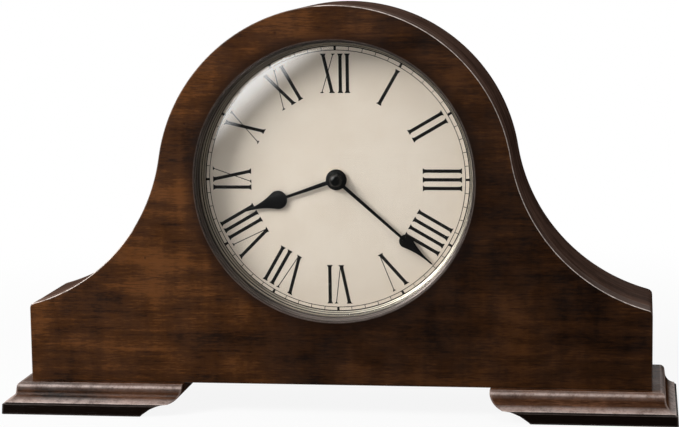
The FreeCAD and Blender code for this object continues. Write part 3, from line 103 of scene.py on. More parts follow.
class Desk:
    """Lays out the nodes of one tree."""

    def __init__(self, tree: Tree) -> None:
        """Takes the tree that the nodes go into."""
        self.tree = tree

    def add(self, kind: str, inputs: dict | None = None, **settings: object) -> Node:
        """Adds one node.

        Args:
            kind: the node's type name.
            inputs: values or sockets for its inputs, by name or number.
            settings: properties of the node.

        Returns:
            The new node.
        """
        node = self.tree.nodes.new(kind)
        for name, value in settings.items():
            setattr(node, name, value)
        for key, value in (inputs or {}).items():
            socket = node.inputs[key]
            if isinstance(value, Socket):
                self.tree.links.new(value, socket)
            elif socket.type == "RGBA":
                socket.default_value = (*value[:3], 1.0)
            else:
                socket.default_value = value
        return node

    def math(self, operation: str, first: object, second: object, clamp: bool = False) -> Socket:
        """Combines two numbers or sockets, within 0 to 1 where clamp is set."""
        return self.add("ShaderNodeMath", {0: first, 1: second}, operation=operation,
                        use_clamp=clamp).outputs[0]

    def plus(self, first: object, second: object, clamp: bool = False) -> Socket:
        """Adds two numbers."""
        return self.math("ADD", first, second, clamp)

    def minus(self, first: object, second: object) -> Socket:
        """Takes the second number from the first."""
        return self.math("SUBTRACT", first, second)

    def times(self, first: object, second: object, clamp: bool = False) -> Socket:
        """Multiplies two numbers."""
        return self.math("MULTIPLY", first, second, clamp)

    def larger(self, first: object, second: object) -> Socket:
        """Keeps the larger of two numbers."""
        return self.math("MAXIMUM", first, second)

    def vector(self, operation: str, first: Socket, second: object, output: object = 0) -> Socket:
        """Combines two vectors."""
        return self.add("ShaderNodeVectorMath", {0: first, 1: second}, operation=operation).outputs[output]

    def away(self, place: Socket, centre: Spot) -> Socket:
        """The distance in metres from a centre that is given in millimetres."""
        return self.vector("DISTANCE", place, tuple(part * MM for part in centre), "Value")

    def axes(self, vector: Socket) -> bpy.types.bpy_prop_collection:
        """The parts of a vector, by the names X, Y and Z."""
        return self.add("ShaderNodeSeparateXYZ", {0: vector}).outputs

    def joined(self, **parts: Socket) -> Socket:
        """A vector of parts that are named X, Y and Z."""
        return self.add("ShaderNodeCombineXYZ", parts).outputs[0]

    def noise(self, place: Socket, scale: float, detail: float = 3.0, rough: float = 0.55) -> Socket:
        """Noise from 0 to 1, by its density per metre, its octaves and the weight of the finer ones."""
        return self.add("ShaderNodeTexNoise", {"Vector": place, "Scale": scale, "Detail": detail,
                                               "Roughness": rough}).outputs["Fac"]

    def lines(self, place: Socket, along: float, across: float, detail: float,
              rough: float = 0.55) -> Socket:
        """Noise drawn out along X, by its density along it and across it."""
        return self.noise(self.vector("MULTIPLY", place, (along, across, across)), 1.0, detail, rough)

    def fade(self, value: Socket, low: float, high: float, start: float = 0.0, end: float = 1.0) -> Socket:
        """Maps the range from low to high smoothly onto the one from start to end."""
        return self.add("ShaderNodeMapRange", {"Value": value, "From Min": low, "From Max": high,
                                               "To Min": start, "To Max": end},
                        interpolation_type="SMOOTHSTEP").outputs[0]

    def mix(self, share: object, first: object, second: object, blend: str = "MIX") -> Socket:
        """Mixes two colours by the share of the second."""
        return self.add("ShaderNodeMix", {0: share, 6: first, 7: second}, data_type="RGBA",
                        blend_type=blend).outputs[2]

    def bump(self, height: Socket, depth: float, strength: float) -> Socket:
        """Turns a height of 0 to 1 into a normal, its full height given in metres."""
        return self.add("ShaderNodeBump", {"Height": height, "Distance": depth,
                                           "Strength": strength}).outputs[0]

    def attribute(self, name: str, output: str = "Fac") -> Socket:
        """Reads an attribute of the mesh."""
        return self.add("ShaderNodeAttribute", attribute_name=name).outputs[output]

    def normal(self) -> bpy.types.bpy_prop_collection:
        """The parts of the surface's normal."""
        return self.axes(self.add("ShaderNodeNewGeometry").outputs["Normal"])

    def shared(self, tree: Tree, **inputs: object) -> bpy.types.bpy_prop_collection:
        """Places a shared group and returns its outputs."""
        return self.add("ShaderNodeGroup", inputs, node_tree=tree).outputs

    def polish(self, place: Socket, smooth: float, dull: float,
               tooth: float) -> bpy.types.bpy_prop_collection:
        """Places the shared polish and returns its roughness and height."""
        return self.shared(polish_group(), Vector=place, Smooth=smooth, Dull=dull, Tooth=tooth)

    def switch(self, share: Socket, first: Node, second: Node) -> Node:
        """Mixes two shaders by the share of the second."""
        return self.add("ShaderNodeMixShader", {0: share, 1: first.outputs[0], 2: second.outputs[0]})


class MaterialDesk(Desk):
    """A desk on a new material, with the socket of its object coordinates."""

    def __init__(self, name: str) -> None:
        """Starts the material.

        Args:
            name: its name.
        """
        self.material = bpy.data.materials.new(name)
        self.material.use_nodes = True
        super().__init__(self.material.node_tree)
        self.tree.nodes.clear()
        self.place = self.add("ShaderNodeTexCoord").outputs["Object"]

    def close(self, shader: Node) -> Material:
        """Links the last shader to the output and returns the material."""
        self.add("ShaderNodeOutputMaterial", {"Surface": shader.outputs[0]})
        return self.material

    def principled(self, inputs: dict) -> Material:
        """Ends the material with a Principled shader and returns it."""
        return self.close(self.add("ShaderNodeBsdfPrincipled", inputs))


class Group(Desk):
    """A desk on a new node group with named sockets."""

    def __init__(self, name: str, inputs: dict[str, str], outputs: dict[str, str],
                 kind: str = "ShaderNodeTree") -> None:
        """Starts the group.

        Args:
            name: its name.
            inputs: kind of each input by its name, such as {"Edge": "Float"}.
            outputs: kind of each output by its name.
            kind: type of tree.
        """
        super().__init__(bpy.data.node_groups.new(name, kind))
        for direction, sockets in (("INPUT", inputs), ("OUTPUT", outputs)):
            for label, sort in sockets.items():
                self.tree.interface.new_socket(label, in_out=direction, socket_type=f"NodeSocket{sort}")
        self.given = self.add("NodeGroupInput").outputs

    def close(self, **results: Socket) -> Tree:
        """Links the results by name and returns the tree."""
        self.add("NodeGroupOutput", results)
        return self.tree

    def coated(self, geometry: Socket) -> Tree:
        """Ends a geometry tree with real geometry in the coat's material."""
        real = self.add("GeometryNodeRealizeInstances", {"Geometry": geometry}).outputs[0]
        return self.close(Geometry=self.add("GeometryNodeSetMaterial", {
            "Geometry": real, "Material": self.given["Coat"]}).outputs[0])


# Layers of the wood's noise: density along and across the grain, octaves and weight of the finer ones
WARP = (7.0, 16.0, 2.0)
WARP_REACH = 5.0
STREAKS = (5.5, 150.0, 150.0)
THREADS = (22.0, 620.0, 2.0)
PORES = (70.0, 1500.0, 1.0)
FIGURE = (85.0, 16.0, 3.0, 0.6)
FLECKS = (190.0, 1000.0, 3.0, 0.7)
BLOTCHES = (15.0, 26.0, 3.0, 0.6)


@cache
def timber_group() -> Tree:
    """Wood grain along X: streaks, pores, cross-grain figure and blotches of stain.

    Returns:
        The shared group.
    """
    group = Group("timber", {"Vector": "Vector", "Deep": "Color", "Warm": "Color", "Pale": "Color",
                             "Figure": "Float"}, {"Color": "Color", "Height": "Float", "Tone": "Float"})
    place, deep = group.given["Vector"], group.given["Deep"]
    sway = group.times(group.lines(place, *WARP), WARP_REACH)
    swayed = group.vector("ADD", group.vector("MULTIPLY", place, STREAKS), group.joined(Y=sway, Z=sway))
    threads = group.lines(place, *THREADS)
    pores = group.fade(group.lines(place, *PORES), 0.6, 0.74)
    tone = group.times(group.noise(swayed, 1.0, 5.0, 0.62), 0.42)
    for layer, weight in ((threads, 0.25), (group.lines(place, *BLOTCHES), 0.85),
                          (group.lines(place, *FLECKS), 0.4),
                          (group.lines(place, *FIGURE), group.given["Figure"])):
        tone = group.plus(tone, group.times(layer, weight))
    tone = group.fade(tone, 0.78, 1.42)
    colour = group.mix(group.fade(tone, 0.0, 0.55), deep, group.given["Warm"])
    colour = group.mix(group.fade(tone, 0.5, 1.0), colour, group.given["Pale"])
    colour = group.mix(group.times(pores, 0.55), colour, deep)
    height = group.minus(group.times(threads, 0.5), group.times(pores, 0.5))
    return group.close(Color=colour, Height=height, Tone=tone)


@cache
def wear_and_highlight_group() -> Tree:
    """Broken pale marks along a piece's arrises, from its edge attribute: rubbing and painted highlight.

    Returns:
        The shared group.
    """
    group = Group("arris_wear", {"Vector": "Vector", "Edge": "Float", "Amount": "Float"},
                  {"Mask": "Float"})
    patchy = group.noise(group.given["Vector"], 160.0, 4.0, 0.65)
    fine = group.noise(group.given["Vector"], 900.0, 2.0)
    broken = group.plus(group.times(patchy, 0.8), group.times(fine, 0.4))
    mask = group.times(group.given["Edge"], group.fade(broken, 0.35, 0.75, 0.35, 1.0))
    return group.close(Mask=group.times(mask, group.given["Amount"], True))


@cache
def dust_group() -> Tree:
    """A thin film of dust on faces that look up.

    Returns:
        The shared group.
    """
    group = Group("dust", {"Vector": "Vector", "Amount": "Float"}, {"Mask": "Float"})
    upward = group.fade(group.normal()["Z"], 0.35, 1.0)
    cloud = group.fade(group.noise(group.given["Vector"], 60.0, 5.0, 0.65), 0.3, 0.75, 0.3, 1.0)
    return group.close(Mask=group.times(group.times(upward, cloud), group.given["Amount"], True))


@cache
def polish_group() -> Tree:
    """Uneven polish: smudges and a fine tooth, as a roughness and a height.

    Returns:
        The shared group.
    """
    group = Group("polish", {"Vector": "Vector", "Smooth": "Float", "Dull": "Float", "Tooth": "Float"},
                  {"Roughness": "Float", "Height": "Float"})
    place, smooth = group.given["Vector"], group.given["Smooth"]
    smudge = group.fade(group.noise(place, 45.0, 4.0, 0.6), 0.3, 0.7)
    rough = group.plus(smooth, group.times(smudge, group.minus(group.given["Dull"], smooth)))
    tooth = group.add("ShaderNodeTexNoise", {"Vector": place, "Scale": group.given["Tooth"], "Detail": 2.0})
    return group.close(Roughness=rough, Height=tooth.outputs["Fac"])


# Finishes

@dataclass(frozen=True)
class WoodFinish:
    """Stained and lacquered wood, or raw wood."""

    name: str
    deep: Colour
    warm: Colour
    pale: Colour
    figure: float = 0.35
    smooth: float = 0.34
    dull: float = 0.5
    gloss: float = 0.3
    # pale colour of the arrises, from rubbing and painted highlight
    worn_and_highlit: Colour = (0.42, 0.25, 0.16)
    wear_and_highlight: float = 0.9
    dust: float = 0.12
    dust_colour: Colour = (0.42, 0.36, 0.33)
    grain: Grain = Grain.ALONG_X
    dents: tuple[Point, ...] = ()
    dent_reach: Point = (0.0002, 0.0012)
    # painted shade: the front darker towards the right and round the dial's ring
    painted_shade_right: float = 0.0
    painted_shade_lean: float = 0.35
    painted_shade_reach: Point = (-0.13, -0.01)
    rim_shade: float = 0.0
    rim_reach: Point = (0.0925, 0.103)
    flanks: tuple[Colour, Colour] | None = None
    shaded: bool = False
    grazing: Point = (0.4, 0.86)
    pore_depth: float = 0.00012

    def with_painted_shade_and_flanks(self, desk: Desk, place: Socket, tone: Socket, colour: Socket) -> Socket:
        """Paints shade by place: darker to the right and round the dial's ring; side faces get their own
        tone.

        Args:
            desk: the material's desk.
            place: the grain's coordinates.
            tone: the grain's tone from 0 to 1.
            colour: the wood's colour.

        Returns:
            The shaded colour.
        """
        # painted shade: the front darkens towards the right, as if lit from the left
        if self.painted_shade_right:
            parts = desk.axes(place)
            slant = desk.minus(parts["X"], desk.times(parts["Z"], self.painted_shade_lean))
            shade = desk.fade(slant, *self.painted_shade_reach, 1.0, 1.0 - self.painted_shade_right)
            colour = desk.mix(1.0, colour, desk.joined(X=shade, Y=shade, Z=shade), "MULTIPLY")
        # painted shade on the wood round the dial's ring
        if self.rim_shade:
            near_ring = desk.fade(desk.away(place, (0.0, FRONT_Y, DIAL_Z)), *self.rim_reach,
                                  self.rim_shade, 0.0)
            colour = desk.mix(near_ring, colour, self.deep)
        if self.flanks:
            aside = desk.fade(desk.normal()["Y"], -0.75, -0.25)
            colour = desk.mix(aside, colour, desk.mix(tone, *self.flanks))
        return colour

    def build(self) -> Material:
        """Builds the material.

        Returns:
            The material.
        """
        desk = MaterialDesk(self.name)
        place = desk.place
        if self.grain is Grain.ALONG_PIECE:
            place = desk.attribute(self.grain.value, "Vector")
        wood = desk.shared(timber_group(), Vector=place, Deep=self.deep, Warm=self.warm, Pale=self.pale,
                           Figure=self.figure)
        colour, height = self.with_painted_shade_and_flanks(desk, place, wood["Tone"], wood["Color"]), wood["Height"]
        for x, z in self.dents:
            dent = desk.fade(desk.away(place, (x, FRONT_Y, z)), *self.dent_reach, 1.0, 0.0)
            colour = desk.mix(desk.times(dent, 0.6), colour, self.deep)
            height = desk.minus(height, dent)
        if self.shaded:
            colour = desk.mix(desk.attribute("shade"), colour, self.deep)
        # pale arrises: partly rubbing, partly painted highlight
        wear_and_highlight = desk.shared(wear_and_highlight_group(), Vector=place, Edge=desk.attribute("edge"), Amount=self.wear_and_highlight)
        colour = desk.mix(wear_and_highlight["Mask"], colour, self.worn_and_highlit)
        dust = desk.shared(dust_group(), Vector=place, Amount=self.dust)["Mask"]
        colour = desk.mix(dust, colour, self.dust_colour)
        polish = desk.polish(place, self.smooth, self.dull, 420.0)
        rough = desk.plus(polish["Roughness"], desk.times(dust, 0.5), True)
        facing = desk.add("ShaderNodeLayerWeight", {"Blend": 0.5}).outputs["Facing"]
        return desk.principled({
            "Base Color": colour, "Roughness": rough,
            "Specular IOR Level": desk.fade(facing, *self.grazing, self.gloss, 0.0),
            "Normal": desk.bump(height, self.pore_depth, 0.5)})


@dataclass(frozen=True)
class MetalFinish:
    """Bare or plated metal with its fine lines and tarnish."""

    name: str
    bright: Colour
    tarnish: Colour
    rough: float = 0.3
    spread: float = 0.12
    age: float = 0.4
    lay: Lay = Lay.CAST
    lip: Colour | None = None
    lip_reach: Point = (0.0911, 0.0915)
    scored: float = 0.35
    score_depth: float = 0.00002
    # painted shadow: dark lines at the radii where the ring's steps fall into shade
    shadowed_grooves: tuple[float, ...] = ()
    groove_shadow_reach: Point = (0.0001, 0.00028)
    groove_shadow_colour: Colour = (0.012, 0.01, 0.009)

    def build(self) -> Material:
        """Builds the material.

        Returns:
            The material.
        """
        desk = MaterialDesk(self.name)
        place = lines = desk.place
        if self.lay is Lay.TURNED:
            parts = desk.axes(place)
            rise = desk.minus(parts["Z"], DIAL_Z * MM)
            squares = desk.plus(desk.math("POWER", parts["X"], 2.0), desk.times(rise, rise))
            radius = desk.math("SQRT", squares, 0.0)
            lines = desk.joined(Y=radius, Z=parts["Y"])
        scratches = desk.lines(lines, *self.lay.value, 2.0)
        patina = desk.fade(desk.noise(place, 85.0, 5.0, 0.62), 0.35, 0.72)
        colour = desk.mix(desk.times(patina, self.age), self.bright, self.tarnish)
        if self.lip:
            colour = desk.mix(desk.fade(radius, *self.lip_reach), self.lip, colour)
            # painted shadow in the ring's grooves
            for groove in self.shadowed_grooves:
                away = desk.math("ABSOLUTE", desk.minus(radius, groove * MM), 0.0)
                colour = desk.mix(desk.fade(away, *self.groove_shadow_reach, 0.9, 0.0), colour, self.groove_shadow_colour)
        polish = desk.polish(place, self.rough, self.rough + self.spread, 700.0)
        return desk.principled({
            "Base Color": colour, "Metallic": 1.0, "Roughness": polish["Roughness"],
            "Normal": desk.bump(scratches, self.score_depth, self.scored)})


@dataclass(frozen=True)
class MouldedFinish:
    """Moulded plastic, rubber, paint or pressed paper."""

    name: str
    colour: Colour
    second: Colour
    rough: float = 0.4
    spread: float = 0.15
    tooth: float = 1400.0
    relief: float = 0.00002
    gloss: float = 0.5
    coat: float = 0.0
    dust: float = 0.12
    dust_colour: Colour = (0.4, 0.37, 0.34)

    def build(self) -> Material:
        """Builds the material.

        Returns:
            The material.
        """
        desk = MaterialDesk(self.name)
        place = desk.place
        cloud = desk.fade(desk.noise(place, 120.0, 4.0, 0.6), 0.3, 0.72)
        colour = desk.mix(desk.times(cloud, 0.5), self.colour, self.second)
        dust = desk.shared(dust_group(), Vector=place, Amount=self.dust)["Mask"]
        polish = desk.polish(place, self.rough, self.rough + self.spread, self.tooth)
        return desk.principled({
            "Base Color": desk.mix(dust, colour, self.dust_colour), "Roughness": polish["Roughness"],
            "Specular IOR Level": self.gloss, "Coat Weight": self.coat, "Coat Roughness": 0.15,
            "Normal": desk.bump(polish["Height"], self.relief, 0.6)})


@dataclass(frozen=True)
class DialFinish:
    """Aged cream dial paper with foxing and faint linen threads; the colour turns browner towards the rim.
    """

    name: str = "dial_cream"
    cream: Colour = (0.77, 0.675, 0.575)
    tan: Colour = (0.67, 0.56, 0.455)
    fox: Colour = (0.42, 0.31, 0.22)
    thread: Spot = (40.0, 1.0, 900.0)

    def build(self) -> Material:
        """Builds the material.

        Returns:
            The material.
        """
        desk = MaterialDesk(self.name)
        place = desk.place
        threads = desk.plus(*(desk.noise(desk.vector("MULTIPLY", place, way), 1.0, 2.0)
                              for way in (self.thread, self.thread[::-1])))
        cloud = desk.fade(desk.noise(place, 26.0, 5.0, 0.6), 0.35, 0.72)
        colour = desk.mix(desk.times(cloud, 0.42), self.cream, self.tan)
        colour = desk.mix(desk.fade(threads, 0.85, 1.35, 0.0, 0.22), colour, self.tan)
        specks = desk.fade(desk.noise(place, 520.0, 2.0), 0.735, 0.8, 0.0, 0.5)
        colour = desk.mix(specks, colour, self.fox)
        outward = desk.away(place, (0.0, DIAL_FACE_Y, DIAL_Z))
        colour = desk.mix(desk.fade(outward, 0.05, 0.1, 0.0, 0.3), colour, self.tan)
        return desk.principled({
            "Base Color": colour, "Roughness": desk.polish(place, 0.5, 0.65, 1500.0)["Roughness"],
            "Specular IOR Level": 0.3, "Normal": desk.bump(threads, 0.00003, 0.25)})


@dataclass(frozen=True)
class GlassFinish:
    """Clear glass that lets soft light through to the dial."""

    name: str = "clear_glass"
    tint: Colour = (0.985, 0.99, 0.985)
    film: float = 0.035

    def build(self) -> Material:
        """Builds the material.

        Returns:
            The material.
        """
        desk = MaterialDesk(self.name)
        glass = desk.add("ShaderNodeBsdfPrincipled", {
            "Base Color": self.tint, "Transmission Weight": 1.0, "IOR": 1.5,
            "Roughness": desk.polish(desk.place, 0.0, self.film, 300.0)["Roughness"]})
        clear = desk.add("ShaderNodeBsdfTransparent", {"Color": self.tint})
        ray = desk.add("ShaderNodeLightPath").outputs
        soft = desk.larger(ray["Is Shadow Ray"], ray["Is Diffuse Ray"])
        return desk.close(desk.switch(soft, glass, clear))


FINISHES = {item.name: item for item in (
    WoodFinish("front_wood", (0.009, 0.003, 0.001), (0.045, 0.015, 0.0032), (0.106, 0.0365, 0.008),
               figure=0.3, grain=Grain.ALONG_PIECE, painted_shade_right=0.45, rim_shade=0.75, gloss=0.1,
               flanks=((0.04, 0.0225, 0.016), (0.098, 0.056, 0.041)), worn_and_highlit=(0.85, 0.74, 0.67),
               dents=((-98.6, 194.2), (-36.6, 253.6), (-127.4, 104.5), (159.2, 66.1))),
    WoodFinish("cover_wood", (0.032, 0.0175, 0.0125), (0.066, 0.037, 0.0265), (0.108, 0.062, 0.045),
               figure=0.15, grain=Grain.ALONG_PIECE, dust=0.02, wear_and_highlight=0.25, gloss=0.05, smooth=0.42,
               dull=0.6),
    WoodFinish("side_wood", (0.007, 0.0032, 0.002), (0.022, 0.0105, 0.0065), (0.045, 0.022, 0.0135),
               figure=0.15, gloss=0.06),
    WoodFinish("foot_wood", (0.0045, 0.0022, 0.0012), (0.052, 0.021, 0.0095), (0.135, 0.06, 0.03),
               figure=0.2, grain=Grain.ALONG_PIECE, dust=0.0, worn_and_highlit=(0.82, 0.66, 0.6), gloss=0.12,
               wear_and_highlight=0.7, smooth=0.18, dull=0.28, shaded=True),
    WoodFinish("back_wood", (0.02, 0.0095, 0.005), (0.065, 0.029, 0.015), (0.12, 0.055, 0.029),
               figure=0.1, smooth=0.5, dull=0.65, gloss=0.2),
    WoodFinish("inner_wood", (0.25, 0.155, 0.085), (0.42, 0.29, 0.175), (0.55, 0.41, 0.27),
               figure=0.08, smooth=0.65, dull=0.8, gloss=0.15, wear_and_highlight=0.0),
    MetalFinish("ring_metal", (0.118, 0.099, 0.092), (0.085, 0.07, 0.062), rough=0.31, spread=0.0,
                age=0.1, lay=Lay.TURNED, lip=(0.46, 0.415, 0.345), scored=0.03,
                shadowed_grooves=(91.35, 90.2, 89.1)),
    MetalFinish("steel", (0.6, 0.6, 0.61), (0.34, 0.32, 0.3), 0.3, 0.15, 0.35, Lay.DRAWN),
    MetalFinish("brass", (0.66, 0.47, 0.2), (0.3, 0.19, 0.09), 0.26, 0.16, 0.5, Lay.DRAWN),
    MetalFinish("copper", (0.72, 0.33, 0.16), (0.42, 0.17, 0.08), 0.3, 0.1, 0.4, Lay.DRAWN),
    MetalFinish("magnet", (0.3, 0.3, 0.31), (0.12, 0.115, 0.11), 0.42, 0.16, 0.5),
    MouldedFinish("hand_black", (0.0014, 0.0014, 0.0014), (0.003, 0.003, 0.003), 0.32, 0.12,
                  1100.0, 0.00001, gloss=0.1, dust=0.0),
    MouldedFinish("hub_black", (0.0014, 0.0014, 0.0014), (0.003, 0.003, 0.003), 0.12, 0.08,
                  900.0, 0.000005, gloss=0.3, dust=0.0),
    MouldedFinish("dial_ink", (0.004, 0.0035, 0.003), (0.012, 0.0095, 0.008), 0.55, 0.1,
                  1500.0, 0.00001, gloss=0.1),
    MouldedFinish("rubber", (0.012, 0.012, 0.012), (0.024, 0.022, 0.021), 0.65, 0.15, 900.0),
    MouldedFinish("case_plastic", (0.017, 0.017, 0.018), (0.028, 0.027, 0.027), 0.45, 0.15,
                  1500.0, 0.00005),
    MouldedFinish("wheel_plastic", (0.72, 0.7, 0.64), (0.62, 0.58, 0.49), 0.3, 0.12, 600.0),
    MouldedFinish("knob_plastic", (0.02, 0.02, 0.021), (0.035, 0.033, 0.032), 0.3, 0.12, 900.0),
    MouldedFinish("board", (0.02, 0.12, 0.05), (0.03, 0.16, 0.07), 0.3, 0.1, 700.0, coat=0.4),
    MouldedFinish("cell", (0.09, 0.1, 0.12), (0.13, 0.14, 0.16), 0.28, 0.1, 500.0, coat=0.3),
    MouldedFinish("paper", (0.03, 0.029, 0.028), (0.055, 0.052, 0.048), 0.8, 0.1, 1800.0, 0.0002,
                  gloss=0.1))}
FINISHES |= {"dial_paint": DialFinish(), "glass": GlassFinish()}


@cache
def finish(name: str) -> Material:
    """The material of a named finish, built at its first use."""
    return FINISHES[name].build()


# Making meshes

def curve_at(start: Vector, corner: Vector, end: Vector, share: float) -> Vector:
    """The spot at a share of the curve that eases a corner."""
    return start * (1 - share) ** 2 + corner * (2 * share * (1 - share)) + end * share ** 2


def rounded(points: Sequence[Point], radius: float, steps: int, closed: bool = True) -> list[Point]:
    """Eases the corners of an outline.

    Args:
        points: the outline's corners.
        radius: reach of each eased corner.
        steps: pieces of each corner.
        closed: whether the outline returns to its start.

    Returns:
        The eased outline.
    """
    result: list[Point] = []
    for index, point in enumerate(points):
        if not closed and index in (0, len(points) - 1):
            result.append(point)
            continue
        corner = Vector(point)
        ways = [Vector(points[(index + turn) % len(points)]) - corner for turn in (-1, 1)]
        start, end = (corner + way.normalized() * min(radius, way.length * 0.45) for way in ways)
        result += [tuple(curve_at(start, corner, end, step / steps)) for step in range(steps + 1)]
    return result


def arc_between(start: Point, end: Point, radius: float, side: int, steps: int) -> list[Point]:
    """Points of an arc of under a half turn.

    Args:
        start: first point.
        end: last point.
        radius: the arc's radius.
        side: 1 with the centre to the left of start to end, or -1.
        steps: pieces of the arc.

    Returns:
        The points, with both ends.
    """
    first, last = Vector(start), Vector(end)
    chord = last - first
    rise = math.sqrt(max(radius ** 2 - chord.length_squared / 4, 0.0))
    centre = (first + last) / 2 + Vector((-chord.y, chord.x)).normalized() * (rise * side)
    low = math.atan2(first.y - centre.y, first.x - centre.x)
    turn = math.atan2(last.y - centre.y, last.x - centre.x) - low
    turn = (turn + math.pi) % math.tau - math.pi
    return [(centre.x + radius * math.cos(low + turn * step / steps),
             centre.y + radius * math.sin(low + turn * step / steps)) for step in range(steps + 1)]


def circle(radius: float, centre: Point, steps: int) -> list[Point]:
    """Points round a circle, from its right side upwards."""
    turns = [math.tau * step / steps for step in range(steps)]
    return [(centre[0] + radius * math.cos(turn), centre[1] + radius * math.sin(turn)) for turn in turns]


def add_row(build: Mesh, line: Iterable[Point], depth: float, wear_and_highlight: Iterable[float] = ()) -> list[Corner]:
    """Adds a row of vertices at one depth.

    Args:
        build: mesh that it goes into.
        line: X and Z of each vertex.
        depth: their Y.
        wear_and_highlight: their values of the edge attribute, where the mesh has it.

    Returns:
        The vertices.
    """
    row = [build.verts.new((x, depth, z)) for x, z in line]
    edge = build.verts.layers.float.get("edge")
    for vertex, worn_and_highlit in zip(row, wear_and_highlight):
        vertex[edge] = worn_and_highlit
    return row


def loft(build: Mesh, rows: Sequence[Sequence[Corner]], closed: bool = True) -> None:
    """Joins rows of as many vertices with faces.

    Args:
        build: mesh that they are in.
        rows: the rows in order.
        closed: whether each row returns to its start.
    """
    count = len(rows[0])
    for first, second in zip(rows, rows[1:]):
        for step in range(count if closed else count - 1):
            following = (step + 1) % count
            build.faces.new((first[step], first[following], second[following], second[step]))


def lathe(section: Sequence[Point], centre: Point, steps: int, build: Mesh | None = None) -> Mesh:
    """Turns a closed section about an axis along Y.

    Args:
        section: points of radius and depth, with its ends on the axis or joined.
        centre: X and Z of the axis.
        steps: sides of the turned piece.
        build: mesh that it goes into, if not a new one.

    Returns:
        The mesh.
    """
    build = build or bmesh.new()
    rings = [add_row(build, circle(radius, centre, 1 if radius < 1e-6 else steps), depth)
             for radius, depth in section]
    for first, second in zip(rings, rings[1:] + rings[:1]):
        for step in range(steps if len(first) + len(second) > 2 else 0):
            corners = [first[step % len(first)], first[(step + 1) % len(first)],
                       second[(step + 1) % len(second)], second[step % len(second)]]
            build.faces.new(list(dict.fromkeys(corners)))
    return build


def prism(build: Mesh, outline: Sequence[Point], near: float, far: float) -> None:
    """Pushes an outline in X and Z from one depth to another.

    Args:
        build: mesh that it goes into.
        outline: the outline's points.
        near: first depth.
        far: last depth.
    """
    front, rear = add_row(build, outline, near), add_row(build, outline, far)
    build.faces.new(front)
    build.faces.new(rear[::-1])
    loft(build, [front, rear])


def settle(mesh: bpy.types.Mesh, crease: float) -> None:
    """Shades a mesh smooth, with sharp edges past an angle in degrees."""
    mesh.polygons.foreach_set("use_smooth", [True] * len(mesh.polygons))
    mesh.set_sharp_from_angle(angle=math.radians(crease))


def apply_modifiers(piece: Piece) -> None:
    """Turns a piece's modifiers into its plain mesh.

    Args:
        piece: the piece.
    """
    bpy.context.view_layer.update()
    graph = bpy.context.evaluated_depsgraph_get()
    mesh = bpy.data.meshes.new_from_object(piece.evaluated_get(graph))
    piece.modifiers.clear()
    piece.data = mesh


def stand(name: str, build: Mesh, unit: float = MM) -> Piece:
    """Makes an object of a drawn mesh, which is freed.

    Args:
        name: its name.
        build: the drawn mesh.
        unit: metres in one unit of the drawing.

    Returns:
        The object, without a material.
    """
    bmesh.ops.scale(build, vec=(unit, unit, unit), verts=build.verts)
    mesh = bpy.data.meshes.new(name)
    build.to_mesh(mesh)
    build.free()
    return linked(name, mesh)


def linked(name: str, data: bpy.types.ID) -> Piece:
    """Makes an object in the scene.

    Args:
        name: its name.
        data: its mesh, lamp or camera.

    Returns:
        The object.
    """
    piece = bpy.data.objects.new(name, data)
    bpy.context.scene.collection.objects.link(piece)
    return piece


def raw_piece(name: str, build: Mesh, coat: Material) -> Piece:
    """Makes a clean and coated object of a mesh drawn in millimetres.

    Args:
        name: its name.
        build: the drawn mesh, which is freed.
        coat: its material.

    Returns:
        The object, not yet riding on a body.
    """
    bmesh.ops.remove_doubles(build, verts=build.verts, dist=1e-4)
    bmesh.ops.recalc_face_normals(build, faces=build.faces)
    piece = stand(name, build)
    piece.data.materials.append(coat)
    return piece


def fit(piece: Piece, body: str, nodes: Sequence[str] = (), crease: float = 32.0) -> None:
    """Sets a finished piece on its body.

    Args:
        piece: the piece.
        body: the body that it moves with.
        nodes: the frame's nodes that it stands for.
        crease: angle of its sharp edges in degrees.
    """
    settle(piece.data, crease)
    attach(piece, body)
    if nodes:
        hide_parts(*nodes)
    log.info("%s: %d faces on %s", piece.name, len(piece.data.polygons), body)


def dress(coats: dict[str, Iterable[str]]) -> None:
    """Gives the frame's own nodes their finishes.

    Args:
        coats: the nodes of each finish.
    """
    for coat, nodes in coats.items():
        for node in nodes:
            mesh = frame["nodes"][node].data
            mesh.materials.clear()
            mesh.materials.append(finish(coat))
            log.info("%s: dressed in %s", node, coat)


def eased_copy(node: str, coat: str, width: float) -> None:
    """Stands a copy with eased arrises in for one of the frame's nodes.

    Args:
        node: the node.
        coat: name of its finish.
        width: reach of the eased edges in millimetres.
    """
    build = bmesh.new()
    build.from_mesh(frame["nodes"][node].data)
    bmesh.ops.remove_doubles(build, verts=build.verts, dist=1e-6)
    bmesh.ops.dissolve_limit(build, angle_limit=math.radians(0.6), verts=build.verts, edges=build.edges)
    bmesh.ops.scale(build, vec=(1 / MM, 1 / MM, 1 / MM), verts=build.verts)
    piece = raw_piece(f"{node}_eased", build, finish(coat))
    bevel = piece.modifiers.new("arris", "BEVEL")
    bevel.width = width * MM
    bevel.segments = 2
    bevel.limit_method = "ANGLE"
    bevel.angle_limit = math.radians(34.0)
    apply_modifiers(piece)
    fit(piece, BODY_OF[node], [node])


def set_grain(mesh: bpy.types.Mesh, domain: str, values: Sequence[Spot]) -> None:
    """Writes the coordinates that a wood finish reads, for each POINT or CORNER."""
    attribute = mesh.attributes.new("grain", "FLOAT_VECTOR", domain)
    attribute.data.foreach_set("vector", [part for value in values for part in value])


# Geometry node trees for what repeats

